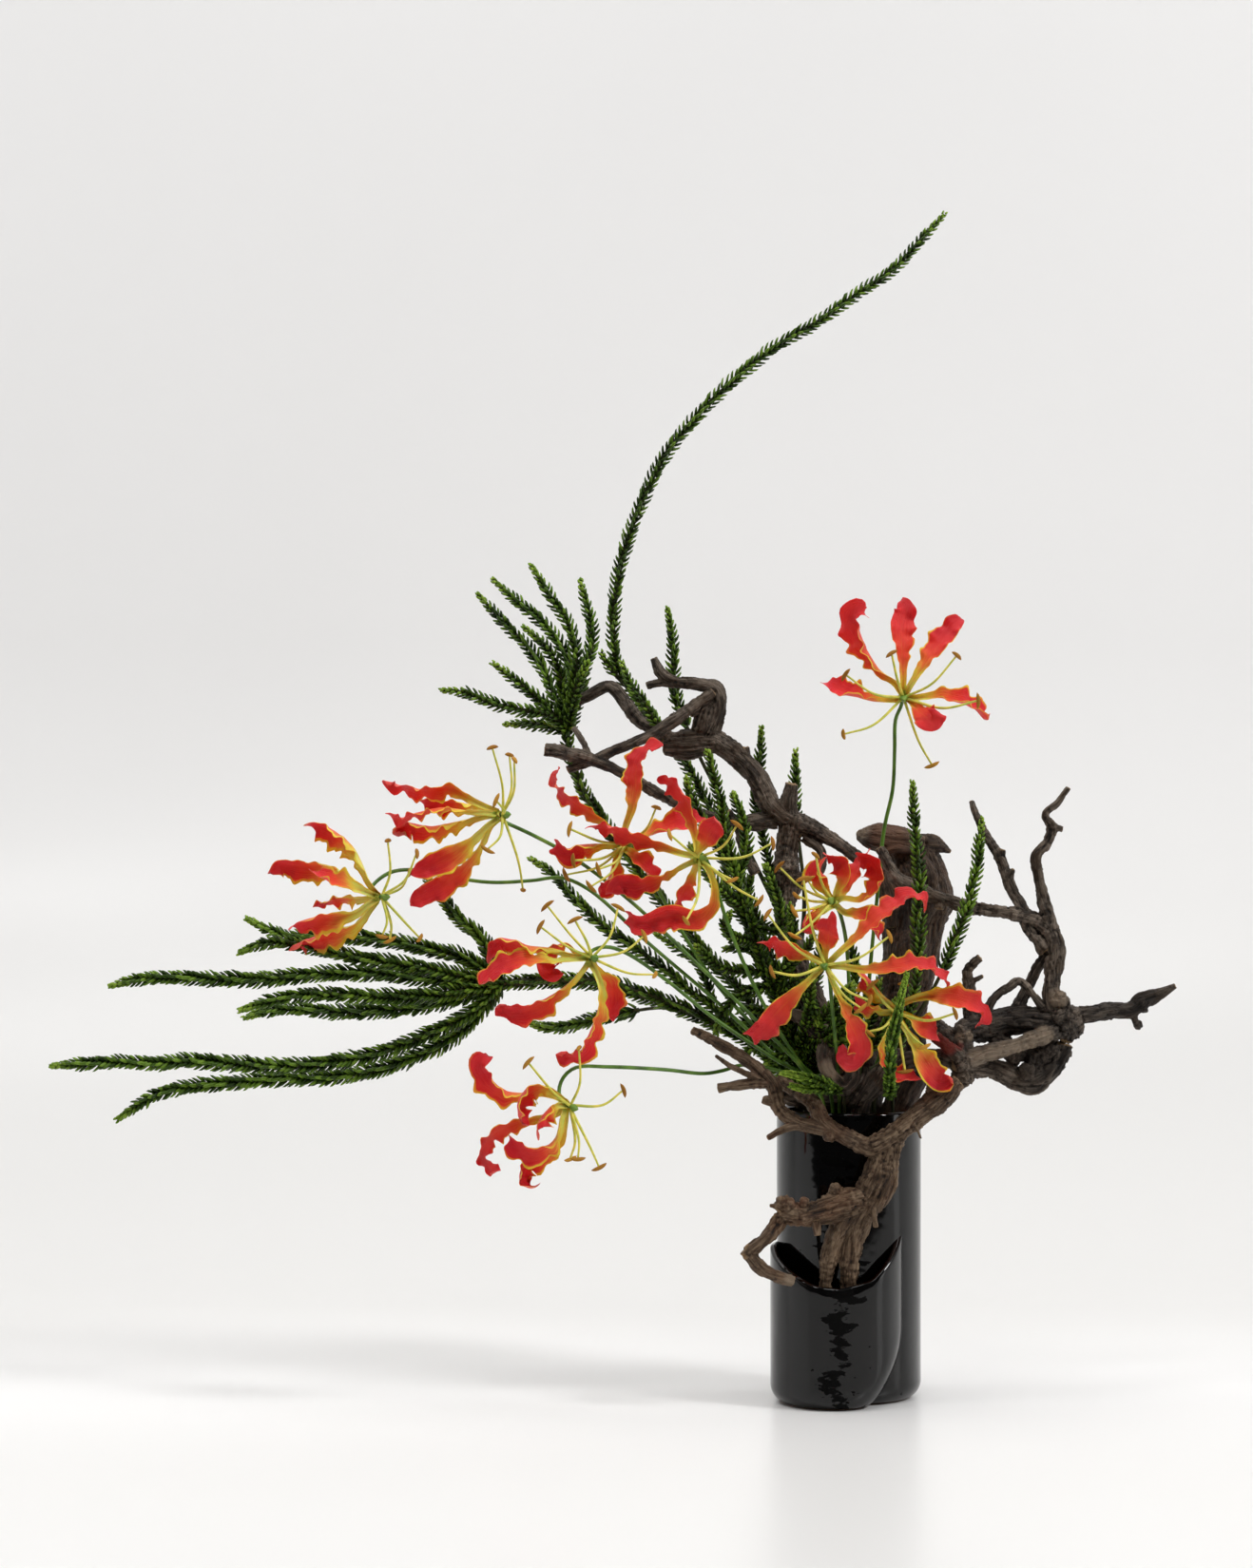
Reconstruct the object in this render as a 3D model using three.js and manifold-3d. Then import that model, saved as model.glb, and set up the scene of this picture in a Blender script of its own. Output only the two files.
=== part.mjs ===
// An ikebana arrangement in a tall black vase that has a lower pocket in front.
// Weathered driftwood stands in the mouth and in the pocket, long needle-leaved shoots
// sweep to the left and upwards, and ten flame lilies hang among them.
// Millimetres, +Z up, the origin at the centre of the vase's base. -Y is the front.
import * as THREE from 'three';
import { mergeVertices } from 'three/addons/utils/BufferGeometryUtils.js';
import Module from 'manifold-3d';

const wasm = await Module();
wasm.setup();

// ---- driving dimensions -----------------------------------------------------------------
const GAP = 0.3;
const VASE = { radius: 53, height: 212, wall: 5, floor: 7, facets: 24 };
const POCKET = { x: -10.5, towards: 24, halfWidth: 48.5, halfDepth: 52, wall: 5, facets: 24 };
// the pocket's rim: angle round the pocket in degrees (180 left, 270 front), height
const POCKET_RIM = [
  [90, 112],
  [180, 108],
  [215, 98],
  [245, 90],
  [270, 88.5],
  [300, 93],
  [325, 104],
  [345, 118],
  [360, 130],
];
const WATER_LEVEL = 150;
const STEM_END = 112;
const WOOD_END = 158;
const NEEDLE = { length: 9, base: 2, lean: 36, core: 1.15 };
const TEPAL = { width: 18, thickness: 1.2, wave: 2.2, segments: 6 };
const STAMEN_RADIUS = 0.55;
const ANTHER = { length: 8, radius: 1.1 };
const PEDICEL_RADIUS = 1.4;

// ---- the view in which every route is drawn -----------------------------------------------
// A route's points are [u, v, towards]: u to the right and v down across a picture of the
// arrangement, seen level from the front, and how far towards the front the point lies.
const VIEW = { distance: 2700, height: 450, x: -163.8, scale: 0.7, centreU: 659, centreV: 824.5 };

function at([u, v, towards]) {
  const size = (VIEW.scale * (VIEW.distance - towards)) / VIEW.distance;
  return new THREE.Vector3(
    VIEW.x + (u - VIEW.centreU) * size,
    -towards,
    VIEW.height - (v - VIEW.centreV) * size,
  );
}

// ---- where each stem passes the vase's mouth: x, towards ---------------------------------
const MOUTH = {
  leftFan: [-33, 0],
  upperFan: [-27, -15],
  tallShoot: [-17, -27],
  lowShoot: [-31, 15],
  centreSpray: [-20, 1],
  backSpray: [-9, -37],
  rightShoots: [19, 8],
  tuftRight: [30, 28],
  tuftLeft: [-7, 43],
  arch: [-4, 14],
  right: [4, 35],
  stump: [10, -19],
};

// ---- small helpers ------------------------------------------------------------------------
let seed = 20;

// a repeatable random number from 0 to 1
function random() {
  seed = (seed * 1664525 + 1013904223) % 4294967296;
  return seed / 4294967296;
}

function lerp(a, b, s) {
  return a + (b - a) * s;
}

// the value of a list of numbers at s, which runs from 0 at its first to 1 at its last
function along(values, s) {
  const place = s * (values.length - 1);
  const low = Math.min(Math.floor(place), values.length - 2);
  return values.length === 1 ? values[0] : lerp(values[low], values[low + 1], place - low);
}

function closed(points, triangles) {
  const geometry = new THREE.BufferGeometry();
  const flat = points.flatMap((point) => [point.x, point.y, point.z]);
  geometry.setAttribute('position', new THREE.Float32BufferAttribute(flat, 3));
  geometry.setIndex(triangles.flat());
  return geometry;
}

function toSolid(geometry) {
  const bare = geometry.clone();
  bare.deleteAttribute('normal');
  bare.deleteAttribute('uv');
  const merged = mergeVertices(bare, 1e-4);
  return new wasm.Manifold(
    new wasm.Mesh({
      numProp: 3,
      vertProperties: new Float32Array(merged.attributes.position.array),
      triVerts: new Uint32Array(merged.index.array),
    }),
  );
}

function toGeometry(solid) {
  const mesh = solid.getMesh();
  const geometry = new THREE.BufferGeometry();
  geometry.setAttribute('position', new THREE.Float32BufferAttribute(mesh.vertProperties, 3));
  geometry.setIndex(new THREE.Uint32BufferAttribute(mesh.triVerts, 1));
  return geometry;
}

// one body from pieces that sink into each other, with sealed hollows filled and scraps dropped
function fuse(geometries) {
  const whole = geometries.map(toSolid).reduce((sum, piece) => sum.add(piece));
  return whole.decompose().sort((a, b) => b.volume() - a.volume())[0];
}

// Rings of points joined into a closed skin, with a flat end or a point at either end.
// Where mirrored is set, the quads of every second side are cut along their other diagonal.
function skin(rings, startPoint = null, endPoint = null, mirrored = false) {
  const sides = rings[0].length;
  const points = rings.flat();
  const triangles = [];
  for (let k = 0; k + 1 < rings.length; k += 1) {
    for (let i = 0; i < sides; i += 1) {
      const a = k * sides + i;
      const b = k * sides + ((i + 1) % sides);
      if (mirrored && i % 2) triangles.push([a, b, a + sides], [b, b + sides, a + sides]);
      else triangles.push([a, b, b + sides], [a, b + sides, a + sides]);
    }
  }
  const last = (rings.length - 1) * sides;
  for (let i = 0; i < sides; i += 1) {
    const next = (i + 1) % sides;
    if (startPoint) triangles.push([points.length, next, i]);
    else if (i > 0 && i < sides - 1) triangles.push([0, i + 1, i]);
  }
  if (startPoint) points.push(startPoint);
  for (let i = 0; i < sides; i += 1) {
    const next = (i + 1) % sides;
    if (endPoint) triangles.push([points.length, last + i, last + next]);
    else if (i > 0 && i < sides - 1) triangles.push([last, last + i, last + i + 1]);
  }
  if (endPoint) points.push(endPoint);
  return closed(points, triangles);
}

// evenly spaced places along a smooth line, each with a forward and two sideways directions
function stations(points, count) {
  const curve = new THREE.CatmullRomCurve3(points, false, 'centripetal');
  const list = [];
  for (let k = 0; k <= count; k += 1) {
    const s = k / count;
    const forward = curve.getTangent(s);
    let side = new THREE.Vector3(0, 1, 0);
    if (list.length) side = list[list.length - 1].side.clone();
    else if (Math.abs(forward.y) > 0.8) side.set(0, 0, 1);
    side.addScaledVector(forward, -side.dot(forward)).normalize();
    const up = forward.clone().cross(side);
    list.push({ s, place: curve.getPoint(s), forward, side, up });
  }
  return list;
}

function round(station, radius, angle) {
  return station.place
    .clone()
    .addScaledVector(station.side, radius * Math.cos(angle))
    .addScaledVector(station.up, radius * Math.sin(angle));
}

// ---- what is already there, so that needles keep clear of it -------------------------------
const taken = [];

function take(a, b, radius, owner) {
  taken.push({ a, b, radius, owner });
}

function spaceBetween(a, b, c, d) {
  const u = b.clone().sub(a);
  const v = d.clone().sub(c);
  const w = a.clone().sub(c);
  const uu = u.dot(u);
  const uv = u.dot(v);
  const vv = Math.max(v.dot(v), 1e-9);
  const uw = u.dot(w);
  const vw = v.dot(w);
  const under = uu * vv - uv * uv;
  let s = under > 1e-9 ? (uv * vw - vv * uw) / under : 0;
  s = Math.min(Math.max(s, 0), 1);
  const t = Math.min(Math.max((uv * s + vw) / vv, 0), 1);
  s = Math.min(Math.max((uv * t - uw) / Math.max(uu, 1e-9), 0), 1);
  return a.clone().addScaledVector(u, s).distanceTo(c.clone().addScaledVector(v, t));
}

function isClear(a, b, radius, owner) {
  return taken.every(
    (other) => other.owner === owner || spaceBetween(a, b, other.a, other.b) > radius + other.radius,
  );
}

// ---- a tube along a route, smooth for stems or rough for wood ------------------------------
function tube(route, radii, sides, steps, rough = 0, owner = 'wood') {
  const list = stations(route, steps);
  const rings = list.map((station) => {
    const radius = along(radii, station.s);
    return Array.from({ length: sides }, (_, i) =>
      round(station, radius * (1 + rough * (random() - 0.5)), (i / sides) * 2 * Math.PI),
    );
  });
  list.forEach((station, k) => {
    if (k) take(list[k - 1].place, station.place, along(radii, station.s), owner);
  });
  return skin(rings);
}

// the last stretch of a stem, from above the vase's mouth straight down inside it
function intoVase([x, towards], bottom, top = 226) {
  return [new THREE.Vector3(x, -towards, top), new THREE.Vector3(x, -towards, (top + bottom) / 2),
    new THREE.Vector3(x, -towards, bottom)];
}

// ---- driftwood ------------------------------------------------------------------------------
const WOOD_ROUGH = 0.22;

// a limb is a route with its half thicknesses in mm; small ones have fewer sides
function limb(route, radii) {
  const points = route.map(at);
  const length = points.reduce((sum, p, i) => (i ? sum + p.distanceTo(points[i - 1]) : 0), 0);
  const thick = Math.max(...radii);
  const sides = thick > 10 ? 6 : thick > 5.4 ? 5 : thick > 3 ? 4 : 3;
  const steps = Math.max(1, Math.round(length / Math.max(20, thick * 3)));
  return tube(points, radii, sides, steps, WOOD_ROUGH);
}

// a lump of wood: a ball with its corners moved in and out
function knob(place, radius) {
  const centre = at(place);
  const ball = mergeVertices(bareBall(radius), 1e-3);
  const position = ball.attributes.position;
  for (let i = 0; i < position.count; i += 1) {
    const corner = new THREE.Vector3().fromBufferAttribute(position, i);
    corner.multiplyScalar(1 + WOOD_ROUGH * (random() - 0.5)).add(centre);
    position.setXYZ(i, corner.x, corner.y, corner.z);
  }
  take(centre, centre.clone().add(new THREE.Vector3(0, 0, 0.1)), radius, 'wood');
  return ball;
}

function bareBall(radius) {
  const ball = radius > 7.2
    ? new THREE.IcosahedronGeometry(radius, radius > 11 ? 1 : 0)
    : new THREE.OctahedronGeometry(radius * 1.2);
  ball.deleteAttribute('normal');
  ball.deleteAttribute('uv');
  return ball;
}

// the piece with the hook at the upper left: its trunk stands in the vase's mouth
const ARCH_LIMBS = [
  [[[688, 692, -4], [695, 708, -2], [710, 717, 0], [735, 720, 2], [752, 725, 4], [755, 745, 4],
    [748, 765, 2], [738, 784, 0]], [2.8, 4, 4.2, 4.8, 6, 6.5, 7, 8]],
  [[[680, 721, -2], [712, 720, 0]], [1.8, 2.4]],
  [[[698, 784, 0], [722, 783, 2], [752, 780, 0]], [6, 9.5, 8]],
  [[[750, 728, 9], [720, 750, 12], [690, 770, 15], [650, 788, 18], [597, 810, 20]],
    [4, 4.2, 4.2, 4, 3]],
  [[[573, 788, 24], [600, 793, 24], [640, 806, 20], [690, 833, 12], [725, 852, 6], [770, 866, 4],
    [815, 862, 0]], [3, 3.6, 3.8, 4, 4.4, 5.5, 6.5]],
  [[[603, 765, 17], [613, 780, 19], [620, 800, 20]], [2, 2.4, 2.8]],
  [[[618, 732, -12], [640, 722, -12], [655, 735, -10], [672, 757, -6], [695, 770, -2],
    [715, 785, 0]], [3.8, 4.6, 5, 5, 5.4, 6]],
  [[[745, 775, 0], [765, 788, 0], [785, 805, 0], [800, 825, 0], [812, 848, 0], [830, 862, 0],
    [860, 875, 0], [885, 890, 0], [905, 904, 0]], [8, 8, 8, 8, 7.6, 9, 5.6, 5, 4.4]],
  [[[785, 785, 2], [786, 806, 0]], [2.5, 3]],
  [[[832, 824, 4], [829, 845, 2], [832, 865, 0]], [4.6, 6, 8]],
  [[[766, 852, 10], [776, 868, 4]], [2.4, 3.6]],
  [[[780, 868, 4], [784, 898, 7], [795, 919, 9]], [4.6, 4, 3.6]],
  [[[846, 880, 0], [864, 896, 4], [862, 916, 4], [834, 926, 2]], [4, 3.4, 3.6, 4]],
  [[[832, 864, 0], [826, 895, 0], [832, 925, 2], [842, 962, 5], [855, 1010, 8], [868, 1055, 10],
    [880, 1100, 13], [888, 1132, 14]], [9, 8, 9, 8, 8, 9, 8.5, 8]],
];
const ARCH_KNOBS = [[[828, 912, 2], 8.5], [[872, 1078, 12], 9], [[884, 1140, 8], 8]];

// the folded stump at the back
const STUMP_ROUTE = [[950, 884, -46], [951, 905, -46], [952, 935, -46], [948, 980, -42],
  [938, 1040, -34], [926, 1100, -26]];
const STUMP_RADII = [29, 27, 30, 28, 24, 19, 15.5, 15, 14];
const STUMP_KNOBS = [[[918, 884, -34], 10], [[984, 890, -38], 10.5], [[930, 940, -26], 9],
  [[976, 935, -28], 9], [[955, 872, -44], 12]];

// the right-hand root with its long branch and two thorny twigs
const RIGHT_LIMBS = [
  [[[925, 891, 8], [935, 910, 8], [945, 925, 8], [965, 935, 8], [1000, 948, 8], [1040, 957, 8],
    [1070, 962, 9], [1095, 970, 10], [1109, 988, 12], [1108, 1020, 12], [1106, 1050, 14],
    [1118, 1072, 15]], [3.4, 4, 4.8, 5, 5, 5, 5, 5.6, 6, 6, 6.6, 9]],
  [[[988, 956, 10], [990, 944, 8]], [3.2, 3.6]],
  [[[1022, 842, -8], [1028, 860, -6], [1040, 882, -4], [1053, 905, -2], [1062, 930, 2],
    [1073, 952, 6], [1082, 976, 9], [1100, 1000, 12]], [2.2, 2.8, 3.4, 3.8, 4, 4.4, 4.6, 4.8]],
  [[[1055, 893, 0], [1053, 905, -2]], [2, 2.6]],
  [[[1066, 914, 4], [1061, 926, 2]], [2, 2.6]],
  [[[1124, 828, 22], [1112, 845, 20], [1099, 857, 18], [1106, 870, 16], [1100, 888, 16],
    [1090, 898, 16], [1092, 920, 14], [1098, 945, 12], [1108, 985, 12]],
  [1.8, 2.6, 3, 3.4, 3.6, 4, 4, 4.6, 5]],
  [[[1118, 872, 17], [1104, 868, 16]], [2.2, 3]],
  [[[1106, 998, 8], [1090, 1020, 3], [1080, 1042, 2], [1068, 1066, 6]], [3.8, 4, 4.2, 5]],
  [[[1120, 1072, 15], [1140, 1068, 16], [1170, 1063, 18], [1190, 1062, 20], [1203, 1053, 22],
    [1237, 1037, 26]], [8, 6.6, 6, 6, 6.4, 2.4]],
  [[[1192, 1064, 20], [1196, 1082, 22]], [3, 1.6]],
  [[[1010, 1118, 40], [1035, 1109, 38], [1062, 1102, 34], [1090, 1092, 28], [1114, 1082, 20]],
    [6.4, 5.8, 5.6, 5.8, 7]],
  [[[983, 1090, 46], [1010, 1112, 42]], [4, 5]],
  [[[1014, 1120, 36], [1045, 1124, 22], [1066, 1134, 18], [1090, 1136, 16], [1110, 1120, 14],
    [1118, 1098, 14]], [7, 6.6, 8, 8, 7, 6.6]],
  [[[1012, 1112, 34], [1015, 1085, 18], [1050, 1076, 10], [1082, 1072, 11], [1114, 1074, 14]],
    [7, 9, 10.5, 11, 10]],
  [[[1021, 1072, 14], [1020, 1035, 12], [1017, 1021, 12], [1031, 1007, 14]], [5, 4, 4, 3.2]],
  [[[1020, 1034, 13], [1034, 1026, 16]], [2.4, 1.6]],
  [[[1033, 1072, 17], [1045, 1050, 19], [1062, 1038, 20], [1073, 1032, 20], [1086, 1046, 19],
    [1098, 1062, 16]], [3.4, 3, 3, 3, 3, 3.4]],
  [[[1012, 1116, 36], [975, 1113, 36], [945, 1122, 36], [922, 1142, 36]], [7, 6, 6.4, 6.4]],
];
const RIGHT_KNOBS = [[[1115, 1053, 20], 7], [[1122, 1074, 16], 13.5], [[1012, 1092, 24], 9],
  [[1013, 1130, 34], 9], [[1080, 1126, 22], 6.5], [[1203, 1054, 22], 6.5], [[1012, 1117, 40], 7.5]];

// the piece in front of the vase: it hangs in a V over the mouth and stands in the pocket
const FRONT_LIMBS = [
  [[[818, 1135, 41], [836, 1146, 48], [855, 1160, 57], [863, 1176, 64], [878, 1190, 68],
    [900, 1200, 70], [916, 1206, 71], [937, 1195, 72], [960, 1178, 69], [984, 1160, 62],
    [1006, 1138, 55]], [4.2, 4.6, 5.2, 5.6, 6, 6.3, 6.6, 7.4, 8.6, 9.6, 6.4]],
  [[[728, 1083, 42], [760, 1100, 46], [790, 1118, 51], [812, 1140, 56], [820, 1165, 60],
    [836, 1179, 64], [860, 1186, 67], [880, 1191, 68]], [3, 4, 4.6, 5, 5, 5, 5, 5]],
  [[[755, 1145, 56], [776, 1141, 56], [812, 1139, 56]], [3.4, 3.6, 4.4]],
  [[[802, 1156, 58], [820, 1162, 60]], [3, 3.6]],
  [[[752, 1110, 57], [770, 1122, 57], [806, 1138, 57]], [1.4, 2, 2.6]],
  [[[807, 1197, 70], [825, 1187, 68], [852, 1183, 66]], [2, 2.6, 3.4]],
  [[[946, 1186, 70], [932, 1214, 67], [924, 1240, 67], [912, 1264, 66], [902, 1286, 64],
    [896, 1310, 62.5], [893, 1338, 61.5], [892, 1380, 61.3]], [7, 10, 11.6, 11, 9, 7.4, 6.4, 5.6]],
  [[[894, 1272, 67], [881, 1295, 66], [873, 1318, 64], [868, 1342, 61.5], [866, 1372, 60.5]],
    [9, 7.6, 6.6, 4.8, 4.2]],
  [[[908, 1262, 68], [885, 1268, 70], [860, 1275, 72], [836, 1278, 75], [820, 1276, 76]],
    [9.6, 11, 9.4, 8, 6.6]],
  [[[857, 1280, 78], [860, 1299, 78]], [3.6, 2.8]],
  [[[828, 1268, 76], [809, 1268, 76]], [3, 1.5]],
  [[[822, 1280, 77], [805, 1303, 81], [786, 1318, 85]], [5.4, 4.8, 4.6]],
  [[[784, 1314, 85], [800, 1333, 84], [818, 1343, 79], [834, 1347, 74]], [4, 5, 4.6, 3.8]],
  [[[918, 1262, 73], [921, 1291, 75]], [2.6, 2]],
  [[[948, 1190, 73], [945, 1219, 77]], [1.8, 0.9]],
  [[[952, 1182, 74], [962, 1184, 76], [969, 1198, 74]], [2, 1.1, 0.9]],
];
const FRONT_KNOBS = [[[826, 1268, 76], 7.4], [[880, 1253, 70], 5.6], [[873, 1194, 70], 5],
  [[846, 1264, 78], 4], [[984, 1146, 60], 7]];

function driftwood(limbs, knobs, mouth = null, mouthRadii = []) {
  const pieces = limbs.map(([route, radii]) => limb(route, radii));
  knobs.forEach(([place, radius]) => pieces.push(knob(place, radius)));
  if (mouth) {
    const points = [...mouth.from.map(at), ...intoVase(mouth.place, WOOD_END, 205)];
    pieces.push(tube(points, mouthRadii, 6, 4, WOOD_ROUGH));
  }
  return toGeometry(fuse(pieces));
}

function stump() {
  const points = [...STUMP_ROUTE.map(at), ...intoVase(MOUTH.stump, WOOD_END, 212)];
  const pieces = [tube(points, STUMP_RADII, 8, 7, WOOD_ROUGH)];
  STUMP_KNOBS.forEach(([place, radius]) => pieces.push(knob(place, radius)));
  return toGeometry(fuse(pieces));
}

// ---- the vase -------------------------------------------------------------------------------
// a round or oval solid from rings of [inset from its outline, height or a function of angle]
function turned(centreX, centreY, halfX, halfY, facets, rings, bottom, top, turn = 0) {
  const ringPoints = rings.map(([inset, height]) =>
    Array.from({ length: facets }, (_, i) => {
      const angle = ((i + turn) / facets) * 2 * Math.PI;
      const z = typeof height === 'function' ? height(angle) : height;
      return new THREE.Vector3(
        centreX + (halfX - inset) * Math.cos(angle),
        centreY + (halfY - inset) * Math.sin(angle),
        z,
      );
    }),
  );
  return skin(
    ringPoints,
    new THREE.Vector3(centreX, centreY, bottom),
    new THREE.Vector3(centreX, centreY, top),
  );
}

function rimHeight(angle) {
  const degrees = (THREE.MathUtils.radToDeg(angle) + 360) % 360;
  const turn = degrees < POCKET_RIM[0][0] ? degrees + 360 : degrees;
  const last = POCKET_RIM[POCKET_RIM.length - 1];
  const list = [...POCKET_RIM, [450, POCKET_RIM[0][1]]];
  const k = list.findIndex(([edge]) => edge > turn) - 1;
  if (k < 0) return last[1];
  const s = (turn - list[k][0]) / (list[k + 1][0] - list[k][0]);
  return lerp(list[k][1], list[k + 1][1], s * s * (3 - 2 * s) * 0.4 + s * 0.6);
}

function vase() {
  const { radius, height, wall, floor, facets } = VASE;
  const outside = [[9, 0], [4, 1.2], [1.2, 5], [0, 13], [0, height - 2], [1.6, height]];
  const inside = [[wall + 8, floor], [wall + 1.5, floor + 3], [wall, floor + 10],
    [wall, height + 5]];
  const tall = toSolid(turned(0, 0, radius, radius, facets, outside, 0, height));
  const tallHollow = toSolid(turned(0, 0, radius, radius, facets, inside, floor, height + 5));
  const shape = [POCKET.x, -POCKET.towards, POCKET.halfWidth, POCKET.halfDepth, POCKET.facets];
  const below = (drop) => (angle) => rimHeight(angle) - drop;
  const pocketOutside = [[9, 0], [4, 1.2], [1.2, 5], [0, 13], [0, below(2)], [1.6, below(0)]];
  const pocket = toSolid(turned(...shape, pocketOutside, 0, 100, 0.3));
  const pocketHollow = toSolid(turned(...shape, inside, floor, height + 5, 0.3));
  // the tall wall runs down inside the pocket, a hair thicker there than above
  const wallInPocket = toSolid(
    turned(0, 0, radius + 0.1, radius + 0.1, facets, [[0, -5], [0, height + 9]], -5, height + 9));
  const hollow = pocketHollow.subtract(wallInPocket);
  return toGeometry(pocket.add(tall).subtract(hollow).subtract(tallHollow));
}

// ---- needle-leaved shoots ----------------------------------------------------------------------
// A shoot is a slim three-sided core with whorls of three needles. Every whorl is a short
// band whose faces are drawn out into needles that lean towards the tip, and each whorl is
// turned by half a step from the last. A needle that would touch a neighbour is left out.
function shoot(points, pitch, owner) {
  const curve = new THREE.CatmullRomCurve3(points, false, 'centripetal');
  const length = curve.getLength();
  const whorls = Math.max(2, Math.round((length - NEEDLE.length) / pitch));
  const marks = [0];
  for (let k = 0; k < whorls; k += 1) {
    const start = 5 + ((length - 9) * (k + 0.5)) / whorls - NEEDLE.base / 2;
    marks.push(start, start + NEEDLE.base);
  }
  const list = [];
  marks.forEach((mark, k) => {
    const s = mark / length;
    const forward = curve.getTangentAt(s);
    const side = k ? list[k - 1].side.clone() : new THREE.Vector3(0, 1, 0);
    side.addScaledVector(forward, -side.dot(forward)).normalize();
    list.push({ s, place: curve.getPointAt(s), forward, side, up: forward.clone().cross(side) });
  });
  list.forEach((station, k) => {
    if (k) take(list[k - 1].place, station.place, NEEDLE.core, owner);
  });
  const corners = [];
  const rings = list.map((station, k) => {
    const turn = (Math.ceil(k / 2) * Math.PI) / 3;
    const radius = NEEDLE.core * lerp(1.15, 0.75, station.s);
    return [0, 1, 2].map((i) => {
      corners.push(round(station, radius, turn + (i * 2 * Math.PI) / 3));
      return corners.length - 1;
    });
  });
  const triangles = [[rings[0][0], rings[0][2], rings[0][1]]];
  for (let k = 0; k + 1 < rings.length; k += 1) {
    for (let i = 0; i < 3; i += 1) {
      const next = (i + 1) % 3;
      const quad = [rings[k][i], rings[k][next], rings[k + 1][next], rings[k + 1][i]];
      const tip = k % 2 ? needleTip(quad.map((corner) => corners[corner]), list[k], owner) : null;
      if (tip) {
        corners.push(tip);
        const top = corners.length - 1;
        quad.forEach((corner, j) => triangles.push([corner, quad[(j + 1) % 4], top]));
      } else if (k % 2) {
        triangles.push([quad[0], quad[1], quad[2]], [quad[0], quad[2], quad[3]]);
      } else {
        triangles.push([rings[k][i], rings[k][next], rings[k + 1][i]]);
        triangles.push([rings[k][next], rings[k + 1][next], rings[k + 1][i]]);
      }
    }
  }
  const end = rings[rings.length - 1];
  corners.push(points[points.length - 1].clone());
  end.forEach((corner, i) => triangles.push([corner, end[(i + 1) % 3], corners.length - 1]));
  return closed(corners, triangles);
}

function needleTip(quad, station, owner) {
  const base = quad.reduce((sum, corner) => sum.add(corner), new THREE.Vector3()).divideScalar(4);
  const out = base.clone().sub(station.place);
  out.addScaledVector(station.forward, -out.dot(station.forward)).normalize();
  const young = Math.max(0, (station.s - 0.86) / 0.14);
  const length = NEEDLE.length * (0.9 + 0.2 * random()) * (1 - 0.35 * young);
  const lean = THREE.MathUtils.degToRad(NEEDLE.lean * (0.9 + 0.2 * random()) * (1 - 0.4 * young));
  const tip = base.clone().addScaledVector(out, length * Math.sin(lean));
  tip.addScaledVector(station.forward, length * Math.cos(lean));
  const root = base.clone().addScaledVector(out, 0.6);
  if (!isClear(root, tip, 0.9, owner)) return null;
  take(root, tip, 0.8, owner);
  return tip;
}

// the nearest place on a line of bare wood, a little in from its ends
function nearestOn(lines, point) {
  const places = lines.flatMap((line) => {
    const curve = new THREE.CatmullRomCurve3(line, false, 'centripetal');
    const length = curve.getLength();
    const count = Math.ceil(length / 2);
    return Array.from({ length: count - 1 }, (_, i) => curve.getPointAt(
      lerp(4 / length, 1 - 4 / length, i / (count - 1))));
  });
  return places.reduce((best, place) =>
    (place.distanceTo(point) < best.distanceTo(point) ? place : best));
}

// a spray: needled shoots, bare twigs that carry them, and a stem down into the water
function spray(name, { shoots, twigs = [], stem, stemRadii, mouth, pitch }) {
  const pieces = [];
  const stemPoints = [...stem.map(at), ...intoVase(mouth, STEM_END)];
  const stemLength = stemPoints.reduce(
    (sum, p, i) => (i ? sum + p.distanceTo(stemPoints[i - 1]) : 0), 0);
  pieces.push(tube(stemPoints, stemRadii, 5, Math.round(stemLength / 34) + 2, 0.08, name));
  const wood = [stemPoints, ...twigs.map(([route]) => route.map(at))];
  twigs.forEach(([route, radii]) => {
    pieces.push(tube(route.map(at), radii, 4, Math.max(2, route.length - 1), 0.08, name));
  });
  shoots.forEach((route, k) => {
    const points = route.map(at);
    points[0] = nearestOn(wood, points[0]);
    cores.push(() => pieces.push(shoot(points, pitch, `${name}_${k}`)));
  });
  return () => toGeometry(fuse(pieces));
}

const cores = [];

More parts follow.
